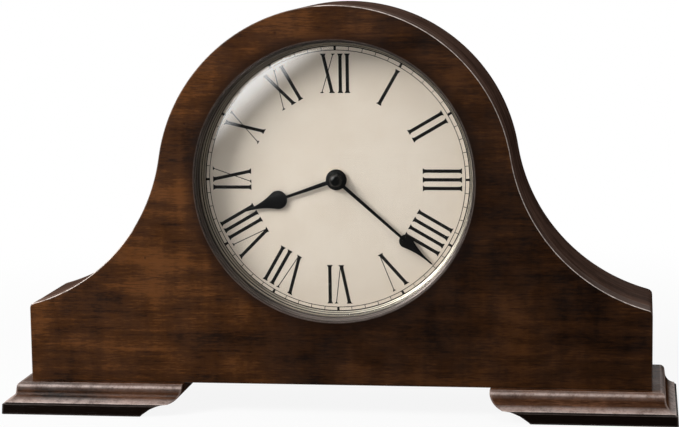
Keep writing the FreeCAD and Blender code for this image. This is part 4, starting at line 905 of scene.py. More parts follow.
@cache
def spread_tree() -> Tree:
    """Copies of one piece at a mesh's points, turned about Y by a step for each.

    Returns:
        The shared tree.
    """
    group = Group("spread", {"Geometry": "Geometry", "Piece": "Object", "First Turn": "Float",
                             "Turn Step": "Float", "Coat": "Material"}, {"Geometry": "Geometry"},
                  "GeometryNodeTree")
    shape = group.add("GeometryNodeObjectInfo", {"Object": group.given["Piece"]},
                      transform_space="ORIGINAL")
    index = group.add("GeometryNodeInputIndex").outputs[0]
    turn = group.plus(group.given["First Turn"], group.times(index, group.given["Turn Step"]))
    return group.coated(group.add("GeometryNodeInstanceOnPoints", {
        "Points": group.given["Geometry"], "Instance": shape.outputs["Geometry"],
        "Rotation": group.joined(Y=turn)}).outputs[0])


@cache
def hoop_tree() -> Tree:
    """A section swept round a circle: the section is a row of edges, drawn as radius and depth.

    Returns:
        The shared tree.
    """
    group = Group("hoop", {"Geometry": "Geometry", "Radius": "Float", "Sides": "Int",
                           "Centre": "Vector", "Coat": "Material"}, {"Geometry": "Geometry"},
                  "GeometryNodeTree")
    path = group.add("GeometryNodeCurvePrimitiveCircle", {"Resolution": group.given["Sides"],
                                                          "Radius": group.given["Radius"]})
    section = group.add("GeometryNodeMeshToCurve", {"Mesh": group.given["Geometry"]})
    swept = group.add("GeometryNodeCurveToMesh", {"Curve": path.outputs[0],
                                                  "Profile Curve": section.outputs[0]})
    return group.coated(group.add("GeometryNodeTransform", {
        "Geometry": swept.outputs[0], "Translation": group.given["Centre"],
        "Rotation": (QUARTER, 0.0, 0.0)}).outputs[0])


def grow(piece: Piece, tree: Tree, values: dict[str, object]) -> None:
    """Runs a geometry tree on a piece and keeps its plain mesh.

    Args:
        piece: the piece whose mesh the tree reads.
        tree: the tree.
        values: its inputs by name.
    """
    modifier = piece.modifiers.new("grow", "NODES")
    modifier.node_group = tree
    for item in tree.interface.items_tree:
        if item.in_out == "INPUT" and item.name in values:
            modifier[item.identifier] = values[item.name]
    apply_modifiers(piece)


def spread(name: str, unit: Mesh, places: Sequence[Spot], coat: str, first_turn: float,
           turn_step: float) -> Piece:
    """Repeats a drawn unit at places.

    Args:
        name: the piece's name.
        unit: the unit's mesh in millimetres about its own origin.
        places: where each copy goes, in millimetres.
        coat: name of the finish.
        first_turn: turn of the first copy about Y, in radians.
        turn_step: further turn of each next copy.

    Returns:
        The piece, not yet riding on a body.
    """
    pattern = raw_piece(f"{name}_unit", unit, finish(coat))
    settle(pattern.data, 32.0)
    points = bmesh.new()
    for place in places:
        points.verts.new(place)
    piece = stand(name, points)
    grow(piece, spread_tree(), {"Piece": pattern, "First Turn": first_turn, "Turn Step": turn_step,
                                "Coat": finish(coat)})
    bpy.data.objects.remove(pattern)
    return piece


# The case

@dataclass
class Case:
    """Front board, bent cover, end boards and the boards behind them."""

    half_width: float = 208.0
    hump_radius: float = 118.1
    hump_centre: float = 153.3
    sweep: float = math.radians(81)
    slope: float = math.radians(13.9)
    corner: float = 3.0
    arris: float = 0.65
    seam: float = 0.25
    board: float = 18.0
    cover: float = 6.0
    hole_radius: float = 93.0
    hole_ease: float = 0.5
    hole_sides: int = 160
    end_ease: float = 0.3

    def __post_init__(self) -> None:
        """Works out the concave flanks from the hump."""
        self.flank_radius = ((self.half_width - self.hump_radius * math.sin(self.sweep))
                             / (math.sin(self.sweep) - math.sin(self.slope)))
        reach = self.hump_radius + self.flank_radius
        self.flank_x = reach * math.sin(self.sweep)
        self.flank_z = self.hump_centre + reach * math.cos(self.sweep)

    def crown(self, inset: float, steps: int = 40) -> list[Point]:
        """The bent line from the right shoulder's end over the hump to the left one.

        Args:
            inset: how far it is drawn in.
            steps: pieces of each flank.

        Returns:
            Points of X and Z.
        """
        hump, flank = self.hump_radius - inset, self.flank_radius + inset
        low = math.acos(min((self.flank_x - (self.half_width - inset)) / flank, 1.0))
        high = QUARTER - self.sweep
        right = [(self.flank_x - flank * math.cos(low + (high - low) * step / steps),
                  self.flank_z - flank * math.sin(low + (high - low) * step / steps))
                 for step in range(steps)]
        top = [(hump * math.sin(turn), self.hump_centre + hump * math.cos(turn))
               for turn in (self.sweep * (1 - step / steps) for step in range(2 * steps + 1))]
        return right + top + [(-x, z) for x, z in reversed(right)]

    def outline(self, inset: float) -> list[Point]:
        """The closed outline of the front, with its eased shoulder corners.

        Args:
            inset: how far it is drawn in.

        Returns:
            Points of X and Z.
        """
        side, low = self.half_width - inset, CASE_Z + inset
        crown = self.crown(inset)
        reach = self.corner - inset * 0.5
        corners = []
        for sign in (1, -1):
            tip = Vector((sign * side, crown[0][1]))
            along = next(Vector(spot) for spot in crown[::sign] if (Vector(spot) - tip).length > reach)
            start, end = tip - Vector((0, reach)), tip + (along - tip).normalized() * reach
            corners.append([tuple(curve_at(start, tip, end, step / 8)) for step in range(9)])
        body = [spot for spot in crown if abs(spot[0]) < side - reach * 1.02]
        floor = [(-side + 2 * side * step / 24, low) for step in range(24)]
        rise = [(side, low + (corners[0][0][1] - low) * step / 6) for step in range(6)]
        fall = [(-x, z) for x, z in rise[:0:-1]]
        return floor + rise + corners[0] + body + corners[1][::-1] + fall

    def rubbing_and_highlight(self, x: float, z: float) -> float:
        """Paleness of the arris, from rubbing and painted highlight: most on the shoulders and the right of
        the hump.

        Args:
            x: place across the front.
            z: height of the place.

        Returns:
            The share of pale arris there.
        """
        if abs(x) > self.half_width - 1.5 or z < CASE_Z + 3:
            return 0.12
        return 0.2 if x < -10 and z > 125 else 1.0

    def front(self) -> None:
        """Builds the front board: an eased, pale-edged arris round a flat face with the dial's hole."""
        build = bmesh.new()
        build.verts.layers.float.new("edge")
        rear, eased = FRONT_Y + self.board, FRONT_Y + self.arris
        steps = [(self.seam, rear, 0.15), (0.0, rear - self.seam, 0.15), (0.0, rear - 1.0, 0.0),
                 (0.0, eased + 2.5, 0.0), (0.0, eased, 0.0)]
        # the arris's middle is painted pale, partly from rubbing and partly as painted highlight
        for turn in (QUARTER * step / 6 for step in range(1, 7)):
            steps.append((self.arris * (1 - math.cos(turn)), FRONT_Y + self.arris * (1 - math.sin(turn)),
                          math.sin(2 * turn) ** 2))
        steps += [(inset, FRONT_Y, 0.0) for inset in (1.3, 2.2, 6.0)]
        rows = []
        for inset, depth, worn_and_highlit in steps:
            line = self.outline(inset)
            rows.append(add_row(build, line, depth, [worn_and_highlit * self.rubbing_and_highlight(*spot) for spot in line]))
        loft(build, rows)
        ease, steps = self.hole_ease, [(4.0, 0.0, 0.0), (1.0, 0.0, 0.0)]
        for turn in (QUARTER * step / 4 for step in range(5)):
            steps.append((ease * (1 - math.sin(turn)), ease * (1 - math.cos(turn)), 0.08))
        hoops = [add_row(build, circle(self.hole_radius + out, AXIS, self.hole_sides), FRONT_Y + depth,
                         [worn_and_highlit] * self.hole_sides) for out, depth, worn_and_highlit in [*steps, (0.0, self.board, 0.0)]]
        loft(build, hoops)
        for outer, inner in ((rows[-1], hoops[0]), (rows[0], hoops[-1])):
            corners = [*outer, *inner]
            flat = [[Vector((spot.co.x, spot.co.z, 0.0)) for spot in row] for row in (outer, inner)]
            for triangle in tessellate_polygon(flat):
                build.faces.new([corners[index] for index in triangle])
        piece = raw_piece("front_board", build, finish("front_wood"))
        set_grain(piece.data, "POINT", [tuple(vertex.co) for vertex in piece.data.vertices])
        fit(piece, "case", ["front_panel"])

    def bent_cover(self) -> None:
        """Builds the cover bent over the hump and shoulders, its grain along the bend."""
        build = bmesh.new()
        build.verts.layers.float.new("edge")
        run = build.verts.layers.float_vector.new("grain")
        near, far = FRONT_Y + self.board, REAR_Y
        ease = self.corner - 0.2

        def lay(line: Sequence[Point], depth: float, worn_and_highlit: float, under: float) -> list[Corner]:
            """Adds a row along the bend, with its travel along it as the grain.

            Args:
                line: X and Z of each vertex.
                depth: their Y.
                worn_and_highlit: their pale share, from rubbing and painted highlight.
                under: their depth in the cover.

            Returns:
                The vertices.
            """
            row = add_row(build, line, depth, [worn_and_highlit] * len(line))
            travel = 0.0
            for index, vertex in enumerate(row):
                travel += (Vector(line[index]) - Vector(line[max(index - 1, 0)])).length
                vertex[run] = (travel * MM, depth * MM, under * MM)
            return row

        rows = []
        for inset, depth, worn_and_highlit in (
                (self.seam, near, 0.3), (0.0, near + self.seam, 0.3), (0.0, near + 3, 0.0),
                (0.0, far - 3, 0.0), (0.0, far - 0.8, 0.5), (0.25, far - 0.25, 1.0), (0.8, far, 0.5)):
            crown = self.crown(inset)
            outer = [spot for spot in crown if abs(spot[0]) < self.half_width - ease - 0.2]
            side, top = self.half_width - inset, crown[0][1]
            start, tip, end = Vector((side, top - ease)), Vector((side, top)), Vector(outer[0])
            right = [tuple(curve_at(start, tip, end, share)) for share in (0.0, 0.35, 0.7)]
            rows.append(lay([*right, *outer, *((-x, z) for x, z in reversed(right))], depth, worn_and_highlit, 0.0))
        side = self.half_width - self.seam
        low_z = self.flank_z - math.sqrt((self.flank_radius + self.cover) ** 2 - (self.flank_x - side) ** 2)
        inner = [spot for spot in self.crown(self.cover) if abs(spot[0]) < self.half_width]
        inner = [(side, low_z), *inner[1:-1], (-side, low_z)]
        caps = [lay(inner, depth, 0.0, self.cover) for depth in (far, near)]
        loft(build, rows, closed=False)
        loft(build, caps, closed=False)
        build.faces.new(rows[-1] + caps[0][::-1])
        build.faces.new(rows[0] + caps[1][::-1])
        for end in (0, -1):
            build.faces.new([row[end] for row in rows + caps])
        piece = raw_piece("bent_cover", build, finish("cover_wood"))
        fit(piece, "case", ["top_cover"], crease=24.0)

    def build(self) -> None:
        """Builds the case's pieces and dresses the boards that stay."""
        self.front()
        self.bent_cover()
        for node in ("left_end_board", "right_end_board"):
            eased_copy(node, "side_wood", self.end_ease)
        dress({"inner_wood": ("glue_blocks", "back_battens"), "back_wood": ("bottom_board",)})


@dataclass
class Feet:
    """The two moulded bracket feet."""

    half_width: float = 208.0
    inner_reach: float = 102.7
    board_reach: float = 5.5
    base_drop: float = 12.15

    def profile(self) -> list[Spot]:
        """Rows of the moulding from its top.

        Returns:
            The height below the top, the reach outwards and the rubbing and painted highlight of each row.
        """
        # the third value paints the moulding pale: a little rubbing, and painted highlight on the lip and
        # down the cove
        drops: list[Spot] = [(0.0, 5.0, 0.0), (0.0, 5.6, 0.4), (0.12, 6.0, 0.25)]
        lip = arc_between((6.0, 0.0), (8.6, -3.0), 3.0, -1, 6)
        drops += [(-z, x, worn_and_highlit) for (x, z), worn_and_highlit in zip(lip[1:], (0.12, 0.15, 0.3, 0.7, 0.6, 0.2))]
        drops += [(3.6, 8.7, 0.1), (5.5, 8.9, 0.0), (7.0, 9.15, 0.0), (7.8, 9.5, 0.0)]
        cove = arc_between((9.65, -8.0), (15.3, -12.0), 7.0, 1, 8)
        drops += [(-z, x, worn_and_highlit) for (x, z), worn_and_highlit in zip(cove[1:-1], (0.0, 0.1, 0.25, 0.4, 0.5, 0.55, 0.65))]
        drops += [(11.85, 15.05, 0.8), (12.0, 15.3, 1.0), (12.2, 15.35, 0.3), (12.5, 15.3, 0.0),
                  (12.8, 15.6, 0.0), (13.1, 16.35, 0.05), (13.25, 16.6, 0.1), (13.5, 16.66, 0.0),
                  (15.0, 16.7, 0.0), (18.8, 16.9, 0.0), (19.6, 16.95, 0.1), (20.0, 16.7, 0.0)]
        return drops

    def inner_end(self, drop: float) -> float:
        """How far from the middle the foot's inner end lies.

        Args:
            drop: height below the foot's top.

        Returns:
            The distance from the middle.
        """
        if drop <= 2.4:
            return self.inner_reach
        nose = arc_between((102.7, -2.4), (113.3, -12.2), 10.8, 1, 24)
        line = nose + arc_between((113.3, -12.2), (129.7, -20.0), 26.0, -1, 24)[1:]
        for first, second in zip(line, line[1:]):
            if -first[1] <= drop <= -second[1] + 1e-6:
                share = (drop + first[1]) / max(first[1] - second[1], 1e-6)
                return first[0] + (second[0] - first[0]) * share
        return line[-1][0]

    def ring(self, inner: float, reach: float, worn_and_highlit: float, nose_wear_and_highlight: float) -> list[Spot]:
        """One level of a foot, as a rectangle with mitred corners.

        Args:
            inner: distance of its inner end from the middle.
            reach: how far it stands out from the case.
            worn_and_highlit: rubbing and painted highlight of its faces.
            nose_wear_and_highlight: share of that on its corners.

        Returns:
            The distance from the middle, Y and rubbing and painted highlight of each point.
        """
        outer, front = self.half_width + reach, FRONT_Y - reach
        mitre, flat = max(worn_and_highlit, 0.5 * nose_wear_and_highlight), outer - inner - 3.2
        spots = [(inner + 0.35, front, 0.3 * nose_wear_and_highlight + worn_and_highlit * 0.5), (inner + 1.6, front, worn_and_highlit)]
        spots += [(outer - 1.6 - flat * share, front, worn_and_highlit) for share in (0.75, 0.5, 0.25)]
        spots += [(outer - 1.4, front, worn_and_highlit), (outer - 0.3, front + 0.02, mitre),
                  (outer - 0.02, front + 0.3, mitre), (outer, front + 1.4, worn_and_highlit)]
        spots += [(outer, front + (REAR_Y - front) * share, worn_and_highlit) for share in (0.35, 0.7)]
        return spots + [
            (outer, REAR_Y - 1.0, worn_and_highlit), (outer - 0.3, REAR_Y, 0.8), (outer - 1.5, REAR_Y, 0.2),
            (inner + 1.6, REAR_Y, 0.0), (inner + 0.3, REAR_Y, 0.3), (inner, REAR_Y - 0.4, 0.3),
            (inner, front + 1.6, 0.0), (inner, front + 0.35, 0.4 * nose_wear_and_highlight)]

    def foot(self, side: int, name: str) -> None:
        """Builds one foot, as rows of mitred rectangles from the top down.

        Args:
            side: 1 for the right foot, -1 for the left.
            name: the word for that side.
        """
        build = bmesh.new()
        edge = build.verts.layers.float.new("edge")
        shade = build.verts.layers.float.new("shade")
        rows = []
        for drop, reach, worn_and_highlit in self.profile():
            inner = self.inner_end(drop) + (0.25 if drop < 0.1 else 0.0)
            row = []
            for x, y, amount in self.ring(inner, reach, worn_and_highlit, 0.7 if drop < 13 else 0.2):
                vertex = build.verts.new((side * x, y, CASE_Z - drop))
                vertex[edge] = min(amount, 1.0) if reach > self.board_reach else 0.0
                vertex[shade] = 1.0 if drop > self.base_drop else 0.0
                row.append(vertex)
            rows.append(row)
        loft(build, rows)
        build.faces.new(rows[0])
        build.faces.new(rows[-1][::-1])
        piece = raw_piece(f"{name}_bracket_foot", build, finish("foot_wood"))
        mesh = piece.data
        corners: list[Spot] = [(0.0, 0.0, 0.0)] * len(mesh.loops)
        for face in mesh.polygons:
            turned = abs(face.normal.x) > max(abs(face.normal.y), 0.3)
            for loop in face.loop_indices:
                x, y, z = mesh.vertices[mesh.loops[loop].vertex_index].co
                corners[loop] = (y + 1.0, x, z) if turned else (x, y, z)
        set_grain(mesh, "CORNER", corners)
        fit(piece, "case", [f"{name}_foot"], crease=38.0)

    def build(self) -> None:
        """Builds both feet and dresses their screws."""
        self.foot(-1, "left")
        self.foot(1, "right")
        dress({"steel": ("foot_screws",)})


# Ring, glass and dial

@dataclass
class Bezel:
    """The stepped ring in the hole, its domed glass and the gasket."""

    ring_outer: float = 92.9
    ring_face: float = -32.8
    ring_rear: float = -15.2
    ring_middle: float = 91.5
    ring_sides: int = 180
    glass_radius: float = 90.9
    apex_y: float = -28.7
    glass_edge_y: float = -19.9
    sheet: float = 1.8

    def section(self) -> list[Point]:
        """The ring's closed section, from its rear over the face and down the steps to the dial.

        Returns:
            Points of radius and depth.
        """
        face, rear, outer = self.ring_face, self.ring_rear, self.ring_outer
        section = [(outer, rear), (outer, face + 0.25), (outer - 0.07, face + 0.07), (outer - 0.2, face),
                   (92.5, face), (92.36, face + 0.06), (92.3, face + 0.22), (92.3, -30.9), (92.2, -30.6),
                   (92.2, -30.2), (92.3, -29.9)]
        section += arc_between((92.3, -29.8), (91.9, -29.0), 0.75, 1, 5)
        section += [(91.8, -28.2), (91.7, -27.9), (91.7, -27.5), (91.8, -27.2), (91.8, -25.7)]
        section += arc_between((91.8, -25.6), (91.42, -24.9), 0.65, 1, 5)
        section += [(91.4, -24.0), (91.3, -23.8), (91.3, -23.4), (91.38, -23.2), (91.2, -22.6),
                    (91.0, -20.1), (91.0, -17.7), (90.35, -17.7), (90.3, -17.35), (90.05, -17.2)]
        section += arc_between((89.95, -17.25), (89.25, -16.35), 0.8, 1, 5)
        section += [(89.1, -16.25), (89.05, -16.0)]
        section += arc_between((88.95, -16.0), (88.5, -15.4), 0.55, 1, 4)
        return section + [(88.45, -15.25), (90.3, -15.25), (90.3, rear)]

    def ring(self) -> None:
        """Builds the ring: its section swept round the hole."""
        points = bmesh.new()
        row = [points.verts.new(((radius - self.ring_middle) * MM, depth * MM, 0.0))
               for radius, depth in self.section()]
        for first, second in zip(row, row[1:] + row[:1]):
            points.edges.new((first, second))
        piece = stand("stepped_ring", points, 1.0)
        grow(piece, hoop_tree(), {"Radius": self.ring_middle * MM, "Sides": self.ring_sides,
                                  "Centre": (0.0, 0.0, DIAL_Z * MM), "Coat": finish("ring_metal")})
        fit(piece, "case", ["dial_ring"], crease=28.0)

    def glass(self) -> None:
        """Builds the domed glass with an eased rim."""
        r, edge = self.glass_radius, self.glass_edge_y
        rise = edge - self.apex_y
        dome = (r ** 2 + rise ** 2) / (2 * rise)
        centre_y, inner = self.apex_y + dome, dome - self.sheet
        rim = centre_y - math.sqrt(inner ** 2 - r ** 2)
        radii = [(r - 0.3) * step / 26 for step in range(1, 27)]
        section = [(0.0, self.apex_y), *((x, centre_y - math.sqrt(dome ** 2 - x ** 2)) for x in radii),
                   (r - 0.08, edge + 0.1), (r, edge + 0.3), (r, rim - 0.3), (r - 0.08, rim - 0.1),
                   *((x, centre_y - math.sqrt(inner ** 2 - x ** 2)) for x in reversed(radii)),
                   (0.0, centre_y - inner)]
        piece = raw_piece("domed_glass", lathe(section, AXIS, 160), finish("glass"))
        fit(piece, "case", ["crystal"], crease=40.0)

    def build(self) -> None:
        """Builds the ring and the glass and dresses the gasket."""
        self.ring()
        self.glass()
        dress({"rubber": ("crystal_gasket",)})


@dataclass
class Stroke:
    """One printed stroke of a numeral: its offsets at the rim and at the foot, and its half width."""

    outer: float
    inner: float
    half: float
    foot_serif: bool = True


@dataclass
class Dial:
    """The dial plate, its printed track and numerals."""

    inner_radius: float = 57.4
    outer_radius: float = 83.4
    track_inner: float = 85.7
    track_outer: float = 88.1
    ink: float = 0.05
    sunk: float = 0.02
    thick: float = 1.12
    thin: float = 0.27
    serif: float = 1.85
    thin_serif: float = 1.15
    serif_height: float = 0.5
    bracket: float = 1.5
    thin_bracket: float = 0.9
    nut_ease: float = 0.15

    def strokes(self) -> dict[int, list[Stroke]]:
        """The strokes of each hour's numeral, as offsets along the way that it reads.

        Returns:
            The strokes by hour.
        """
        thick, thin = self.thick, self.thin

        def bars(*offsets: float) -> list[Stroke]:
            """Upright bars."""
            return [Stroke(offset, offset, thick) for offset in offsets]

        def vee(left: float, point: float, right: float) -> list[Stroke]:
            """A V with its point at the foot."""
            return [Stroke(left, point, thick), Stroke(right, point + 0.45, thin, foot_serif=False)]

        def cross(left: float, foot_right: float, right: float, foot_left: float) -> list[Stroke]:
            """An X."""
            return [Stroke(left, foot_right, thick), Stroke(right, foot_left, thin)]

        return {
            1: bars(0), 2: bars(-2.95, 2.95), 3: bars(-5.75, 0, 5.75), 4: bars(-8.85, -2.95, 2.95, 8.85),
            5: vee(-5.2, 0.3, 4.5), 6: vee(-7.7, -2.3, 1.3) + bars(5.4),
            7: vee(-10.2, -3.5, -1.0) + bars(3.7, 9.0), 8: vee(-12.5, -5.5, -2.9) + bars(2.4, 7.8, 13.0),
            9: bars(-5.25) + cross(0.0, 5.6, 7.5, -1.5), 10: cross(-4.0, 3.8, 4.1, -4.8),
            11: cross(-6.2, 1.2, 1.2, -6.8) + bars(6.5), 12: cross(-8.1, -2.1, -1.2, -9.0) + bars(3.4, 8.1)}

    def stroke_outline(self, stroke: Stroke) -> list[Point]:
        """The outline of a stroke with bracketed serifs.

        Args:
            stroke: the stroke.

        Returns:
            Points of the offset along the reading way and of the radius.
        """
        low, high = self.inner_radius, self.outer_radius
        lean = (stroke.outer - stroke.inner) / (high - low)
        heavy = stroke.half > 0.5
        flare = self.serif if heavy else self.thin_serif
        bracket = self.bracket if heavy else self.thin_bracket

        def at(radius: float, offset: float) -> Point:
            """A point beside the stroke's middle line."""
            return (stroke.inner + lean * (radius - low) + offset, radius)

        def end(radius: float, way: int, flared: bool) -> list[Point]:
            """One end of the stroke, from its right side to its left when way is 1.

            Args:
                radius: where the stroke ends.
                way: 1 at the rim, -1 at the foot.
                flared: whether the end has a serif.

            Returns:
                The end's points.
            """
            if not flared:
                return [at(radius, way * stroke.half), at(radius, -way * stroke.half)]
            half = []
            for share in (1.0, 0.55, 0.25, 0.08):
                reach = stroke.half + (flare - stroke.half) * (1 - share) ** 2.2 * 0.75
                half.append((radius - way * (self.serif_height + bracket * share), reach))
            half += [(radius - way * self.serif_height * 0.8, flare), (radius, flare)]
            return [at(z, way * offset) for z, offset in half] + [
                at(z, -way * offset) for z, offset in reversed(half)]

        return end(high, 1, True) + end(low, -1, stroke.foot_serif)

    def printed(self, name: str, build: Mesh) -> None:
        """Sets a printed mesh on the dial."""
        fit(raw_piece(name, build, finish("dial_ink")), "case")

    def numerals(self) -> None:
        """Prints the twelve numerals, with their feet to the middle."""
        build = bmesh.new()
        for hour, strokes in self.strokes().items():
            turn = math.tau * hour / 12
            for stroke in strokes:
                spots = [(radius * math.sin(turn) + offset * math.cos(turn),
                          DIAL_Z + radius * math.cos(turn) - offset * math.sin(turn))
                         for offset, radius in self.stroke_outline(stroke)]
                prism(build, spots, DIAL_FACE_Y - self.ink, DIAL_FACE_Y + self.sunk)
        self.printed("dial_numerals", build)

    def round_marks(self, name: str, count: int, width: float, height: float) -> None:
        """Prints marks with eased ends evenly round the track.

        Args:
            name: the piece's name.
            count: number of marks.
            width: of a mark, along the track.
            height: of a mark, across it.
        """
        build = bmesh.new()
        half, tall = width / 2, height / 2
        prism(build, rounded([(-half, -tall), (half, -tall), (half, tall), (-half, tall)],
                             min(half, tall) * 0.3, 1), -self.ink, self.sunk)
        radius = (self.track_inner + self.track_outer) / 2
        turns = [math.tau * step / count for step in range(count)]
        places = [(radius * math.sin(turn), DIAL_FACE_Y, DIAL_Z + radius * math.cos(turn)) for turn in turns]
        fit(spread(name, build, places, "dial_ink", 0.0, math.tau / count), "case")

    def track_lines(self) -> None:
        """Prints the two thin circles of the minute track."""
        build = bmesh.new()
        top, low = DIAL_FACE_Y - self.ink, DIAL_FACE_Y + self.sunk
        for radius, line in ((self.track_inner, 0.22), (self.track_outer, 0.26)):
            lathe([(radius - line, low), (radius - line, top), (radius + line, top), (radius + line, low)],
                  AXIS, 180, build)
        self.printed("minute_track", build)

    def build(self) -> None:
        """Dresses the plate and prints the dial."""
        dress({"dial_paint": ("dial_plate",), "steel": ("dial_screws",), "rubber": ("mounting_washer",)})
        self.numerals()
        self.round_marks("minute_ticks", 60, 0.42, self.track_outer - self.track_inner)
        self.round_marks("hour_blocks", 12, 1.6, 2.3)
        self.track_lines()
        eased_copy("mounting_nut", "brass", self.nut_ease)


@dataclass
class Hands:
    """The spade hands and their stacked hub."""

    collet_radius: float = 4.6
    collet_front: float = -20.2
    collet_rear: float = -18.3
    cap_radius: float = 4.4
    cap_front: float = -24.3
    bore: float = 1.45
    ease: float = 0.16

    def turned(self, name: str, section: Sequence[Point], node: str) -> None:
        """Builds one turned part of the hub."""
        piece = raw_piece(name, lathe(section, AXIS, 64), finish("hub_black"))
        fit(piece, "minute", [node], crease=50.0)

    def hub(self) -> None:
        """Builds the collet with its lip and the domed cap on it."""
        r, front, rear, bore = self.collet_radius, self.collet_front, self.collet_rear, self.bore
        neck = r - 0.35
        self.turned("hub_collet", rounded([
            (bore, rear), (r, rear), (r, rear - 0.55), (neck, rear - 0.75), (neck, rear - 1.1),
            (r, rear - 1.3), (r, front + 0.02), (bore, front + 0.02)], 0.16, 2), "minute_collet")
        c, top = self.cap_radius, self.cap_front
        height = front - top
        dome = ((0.18, 0.0), (0.36, 0.015), (0.55, 0.06), (0.7, 0.13), (0.8, 0.24), (0.845, 0.34))
        step = [(0.845, 0.34), (0.85, 0.52), (0.93, 0.58), (1.0, 0.66)]
        skirt = [(c * share, top + height * lift) for share, lift in step]
        skirt += [(c, front - 0.15), (c - 0.12, front), (bore, front), (bore, top + height / 2),
                  (0.0, top + height / 2)]
        section = [(0.0, top), *((c * share, top + height * lift) for share, lift in dome)]
        self.turned("hub_cap", section + rounded(skirt, 0.12, 2, closed=False)[1:], "hand_cap")

    def build(self) -> None:
        """Eases the hands and builds the hub."""
        for node in ("hour_hand", "minute_hand"):
            eased_copy(node, "hand_black", self.ease)
        self.hub()


# The back: panel, door, hinges and catch

@dataclass
class Back:
    """The back panel, its door and what holds them."""

    half_width: float = 208.0
    panel_ease: float = 0.35
    door_ease: float = 0.45
    leaf_ease: float = 0.12
    head_radius: float = 2.0
    head_height: float = 0.55
    slot_width: float = 0.55
    first_turn: float = 0.4
    turn_step: float = 1.13
    block_shares: Point = (0.36, 0.82)
    block_height: float = 33.5
    crown_screw: float = 15.0
    hinge_heights: Point = (115.0, 195.0)
    leaf_screw: float = 7.2
    case_leaf: float = -79.7
    door_leaf: float = -64.7
    pull_centre: Point = (58.0, 155.0)

    def slotted_head(self) -> Mesh:
        """A domed screw head with a slot, its back at the origin and its face towards +Y.

        Returns:
            The drawn mesh.
        """
        build = bmesh.new()
        radius, height, half = self.head_radius, self.head_height, self.slot_width / 2
        rows, columns = 7, 20
        for side in (-1, 1):
            rings = []
            for row in range(rows + 1):
                reach = radius * math.cos(math.asin(row / rows) * 0.999) if row < rows else half * 1.02
                swell = math.sqrt(max(1 - (reach / radius) ** 2, 0))
                lift = height * (0.3 + 0.7 * swell) if row else 0.0
                limit = math.asin(min(half / max(reach, half), 1.0))
                turns = [limit + (math.pi - 2 * limit) * column / columns for column in range(columns + 1)]
                rings.append(add_row(build, [
                    (reach * math.cos(turn), side * max(reach * math.sin(turn), half))
                    for turn in turns], lift))
            loft(build, rings, closed=False)
            rim = [ring[0] for ring in rings] + [ring[-1] for ring in reversed(rings)]
            wall = add_row(build, [(vertex.co.x, side * half) for vertex in rim], height * 0.35)
            loft(build, [rim, wall], closed=False)
        bmesh.ops.remove_doubles(build, verts=build.verts, dist=1e-3)
        edges = [edge for edge in build.edges if edge.is_boundary]
        bmesh.ops.holes_fill(build, edges=edges, sides=0)
        return build

    def screw_heads(self, name: str, places: Sequence[Point], screws: str, coat: str) -> None:
        """Sets slotted heads on a face that looks back.

        Args:
            name: the piece's name.
            places: X and Z of each screw.
            screws: node whose rear face they stand on.
            coat: name of their finish.
        """
        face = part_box(screws)[1].y / MM - 0.02
        piece = spread(name, self.slotted_head(), [(x, face, z) for x, z in places], coat,
                       self.first_turn, self.turn_step)
        fit(piece, BODY_OF[screws], crease=40.0)

    def build(self) -> None:
        """Eases the boards and hinges, sets the screw heads and turns the pull."""
        eased_copy("back_panel", "back_wood", self.panel_ease)
        eased_copy("back_door", "back_wood", self.door_ease)
        for node in ("hinge_case_leaves", "hinge_door_leaves"):
            eased_copy(node, "brass", self.leaf_ease)
        dress({"brass": ("hinge_pins", "hinge_case_screws", "hinge_door_screws"),
               "steel": ("catch_magnet", "strike_plate", "back_panel_screws")})
        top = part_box("back_panel_screws")[1].z / MM - self.head_radius
        places = [(side * self.half_width * share, self.block_height)
                  for share in self.block_shares for side in (-1, 1)]
        places += [(-self.crown_screw, top), (self.crown_screw, top)]
        self.screw_heads("panel_screw_heads", places, "back_panel_screws", "steel")
        heights = [middle + side * self.leaf_screw for middle in self.hinge_heights for side in (-1, 1)]
        for leaf, x in (("case", self.case_leaf), ("door", self.door_leaf)):
            self.screw_heads(f"{leaf}_leaf_heads", [(x, z) for z in heights], f"hinge_{leaf}_screws",
                             "brass")
        section = [(0.0, 47.0), (3.3, 47.0), (3.0, 47.35), (3.0, 47.9), (3.4, 48.2), (5.7, 48.35),
                   (6.0, 48.7), (5.95, 49.05), (5.4, 49.4), (4.2, 49.58), (2.8, 49.6), (1.4, 49.5),
                   (0.0, 49.45)]
        pull = raw_piece("turned_pull", lathe(section, self.pull_centre, 48), finish("brass"))
        fit(pull, "door", ["door_pull"], crease=50.0)


# Inside: movement, cells and speaker

@dataclass
class Movement:
    """The battery movement with its train, controls and cells."""

    case_ease: float = 0.3

    def build(self) -> None:
        """Eases the movement's case and dresses what is in it."""
        for node in ("movement_front_case", "movement_rear_case"):
            eased_copy(node, "case_plastic", self.case_ease)
        dress({
            "wheel_plastic": ("minute_arbor", "hour_wheel", "minute_wheel", "centre_wheel", "third_wheel",
                              "seconds_wheel", "intermediate_wheel"),
            "steel": ("rotor", "motor_stator", "battery_contacts", "quartz_can", "movement_screws"),
            "copper": ("motor_coil",), "board": ("circuit_board",),
            "cell": ("lower_battery", "upper_battery"),
            "knob_plastic": ("setting_knob", "chime_selector", "volume_knob")})


@dataclass
class Speaker:
    """The speaker behind its holes, and its lead."""

    frame_ease: float = 0.15
    magnet_ease: float = 0.5

    def build(self) -> None:
        """Eases the frame and the magnet and dresses the rest."""
        eased_copy("speaker_frame", "steel", self.frame_ease)
        eased_copy("speaker_magnet", "magnet", self.magnet_ease)
        dress({"steel": ("speaker_screws",), "paper": ("speaker_cone",), "rubber": ("speaker_lead",)})


# Floor, lights and camera

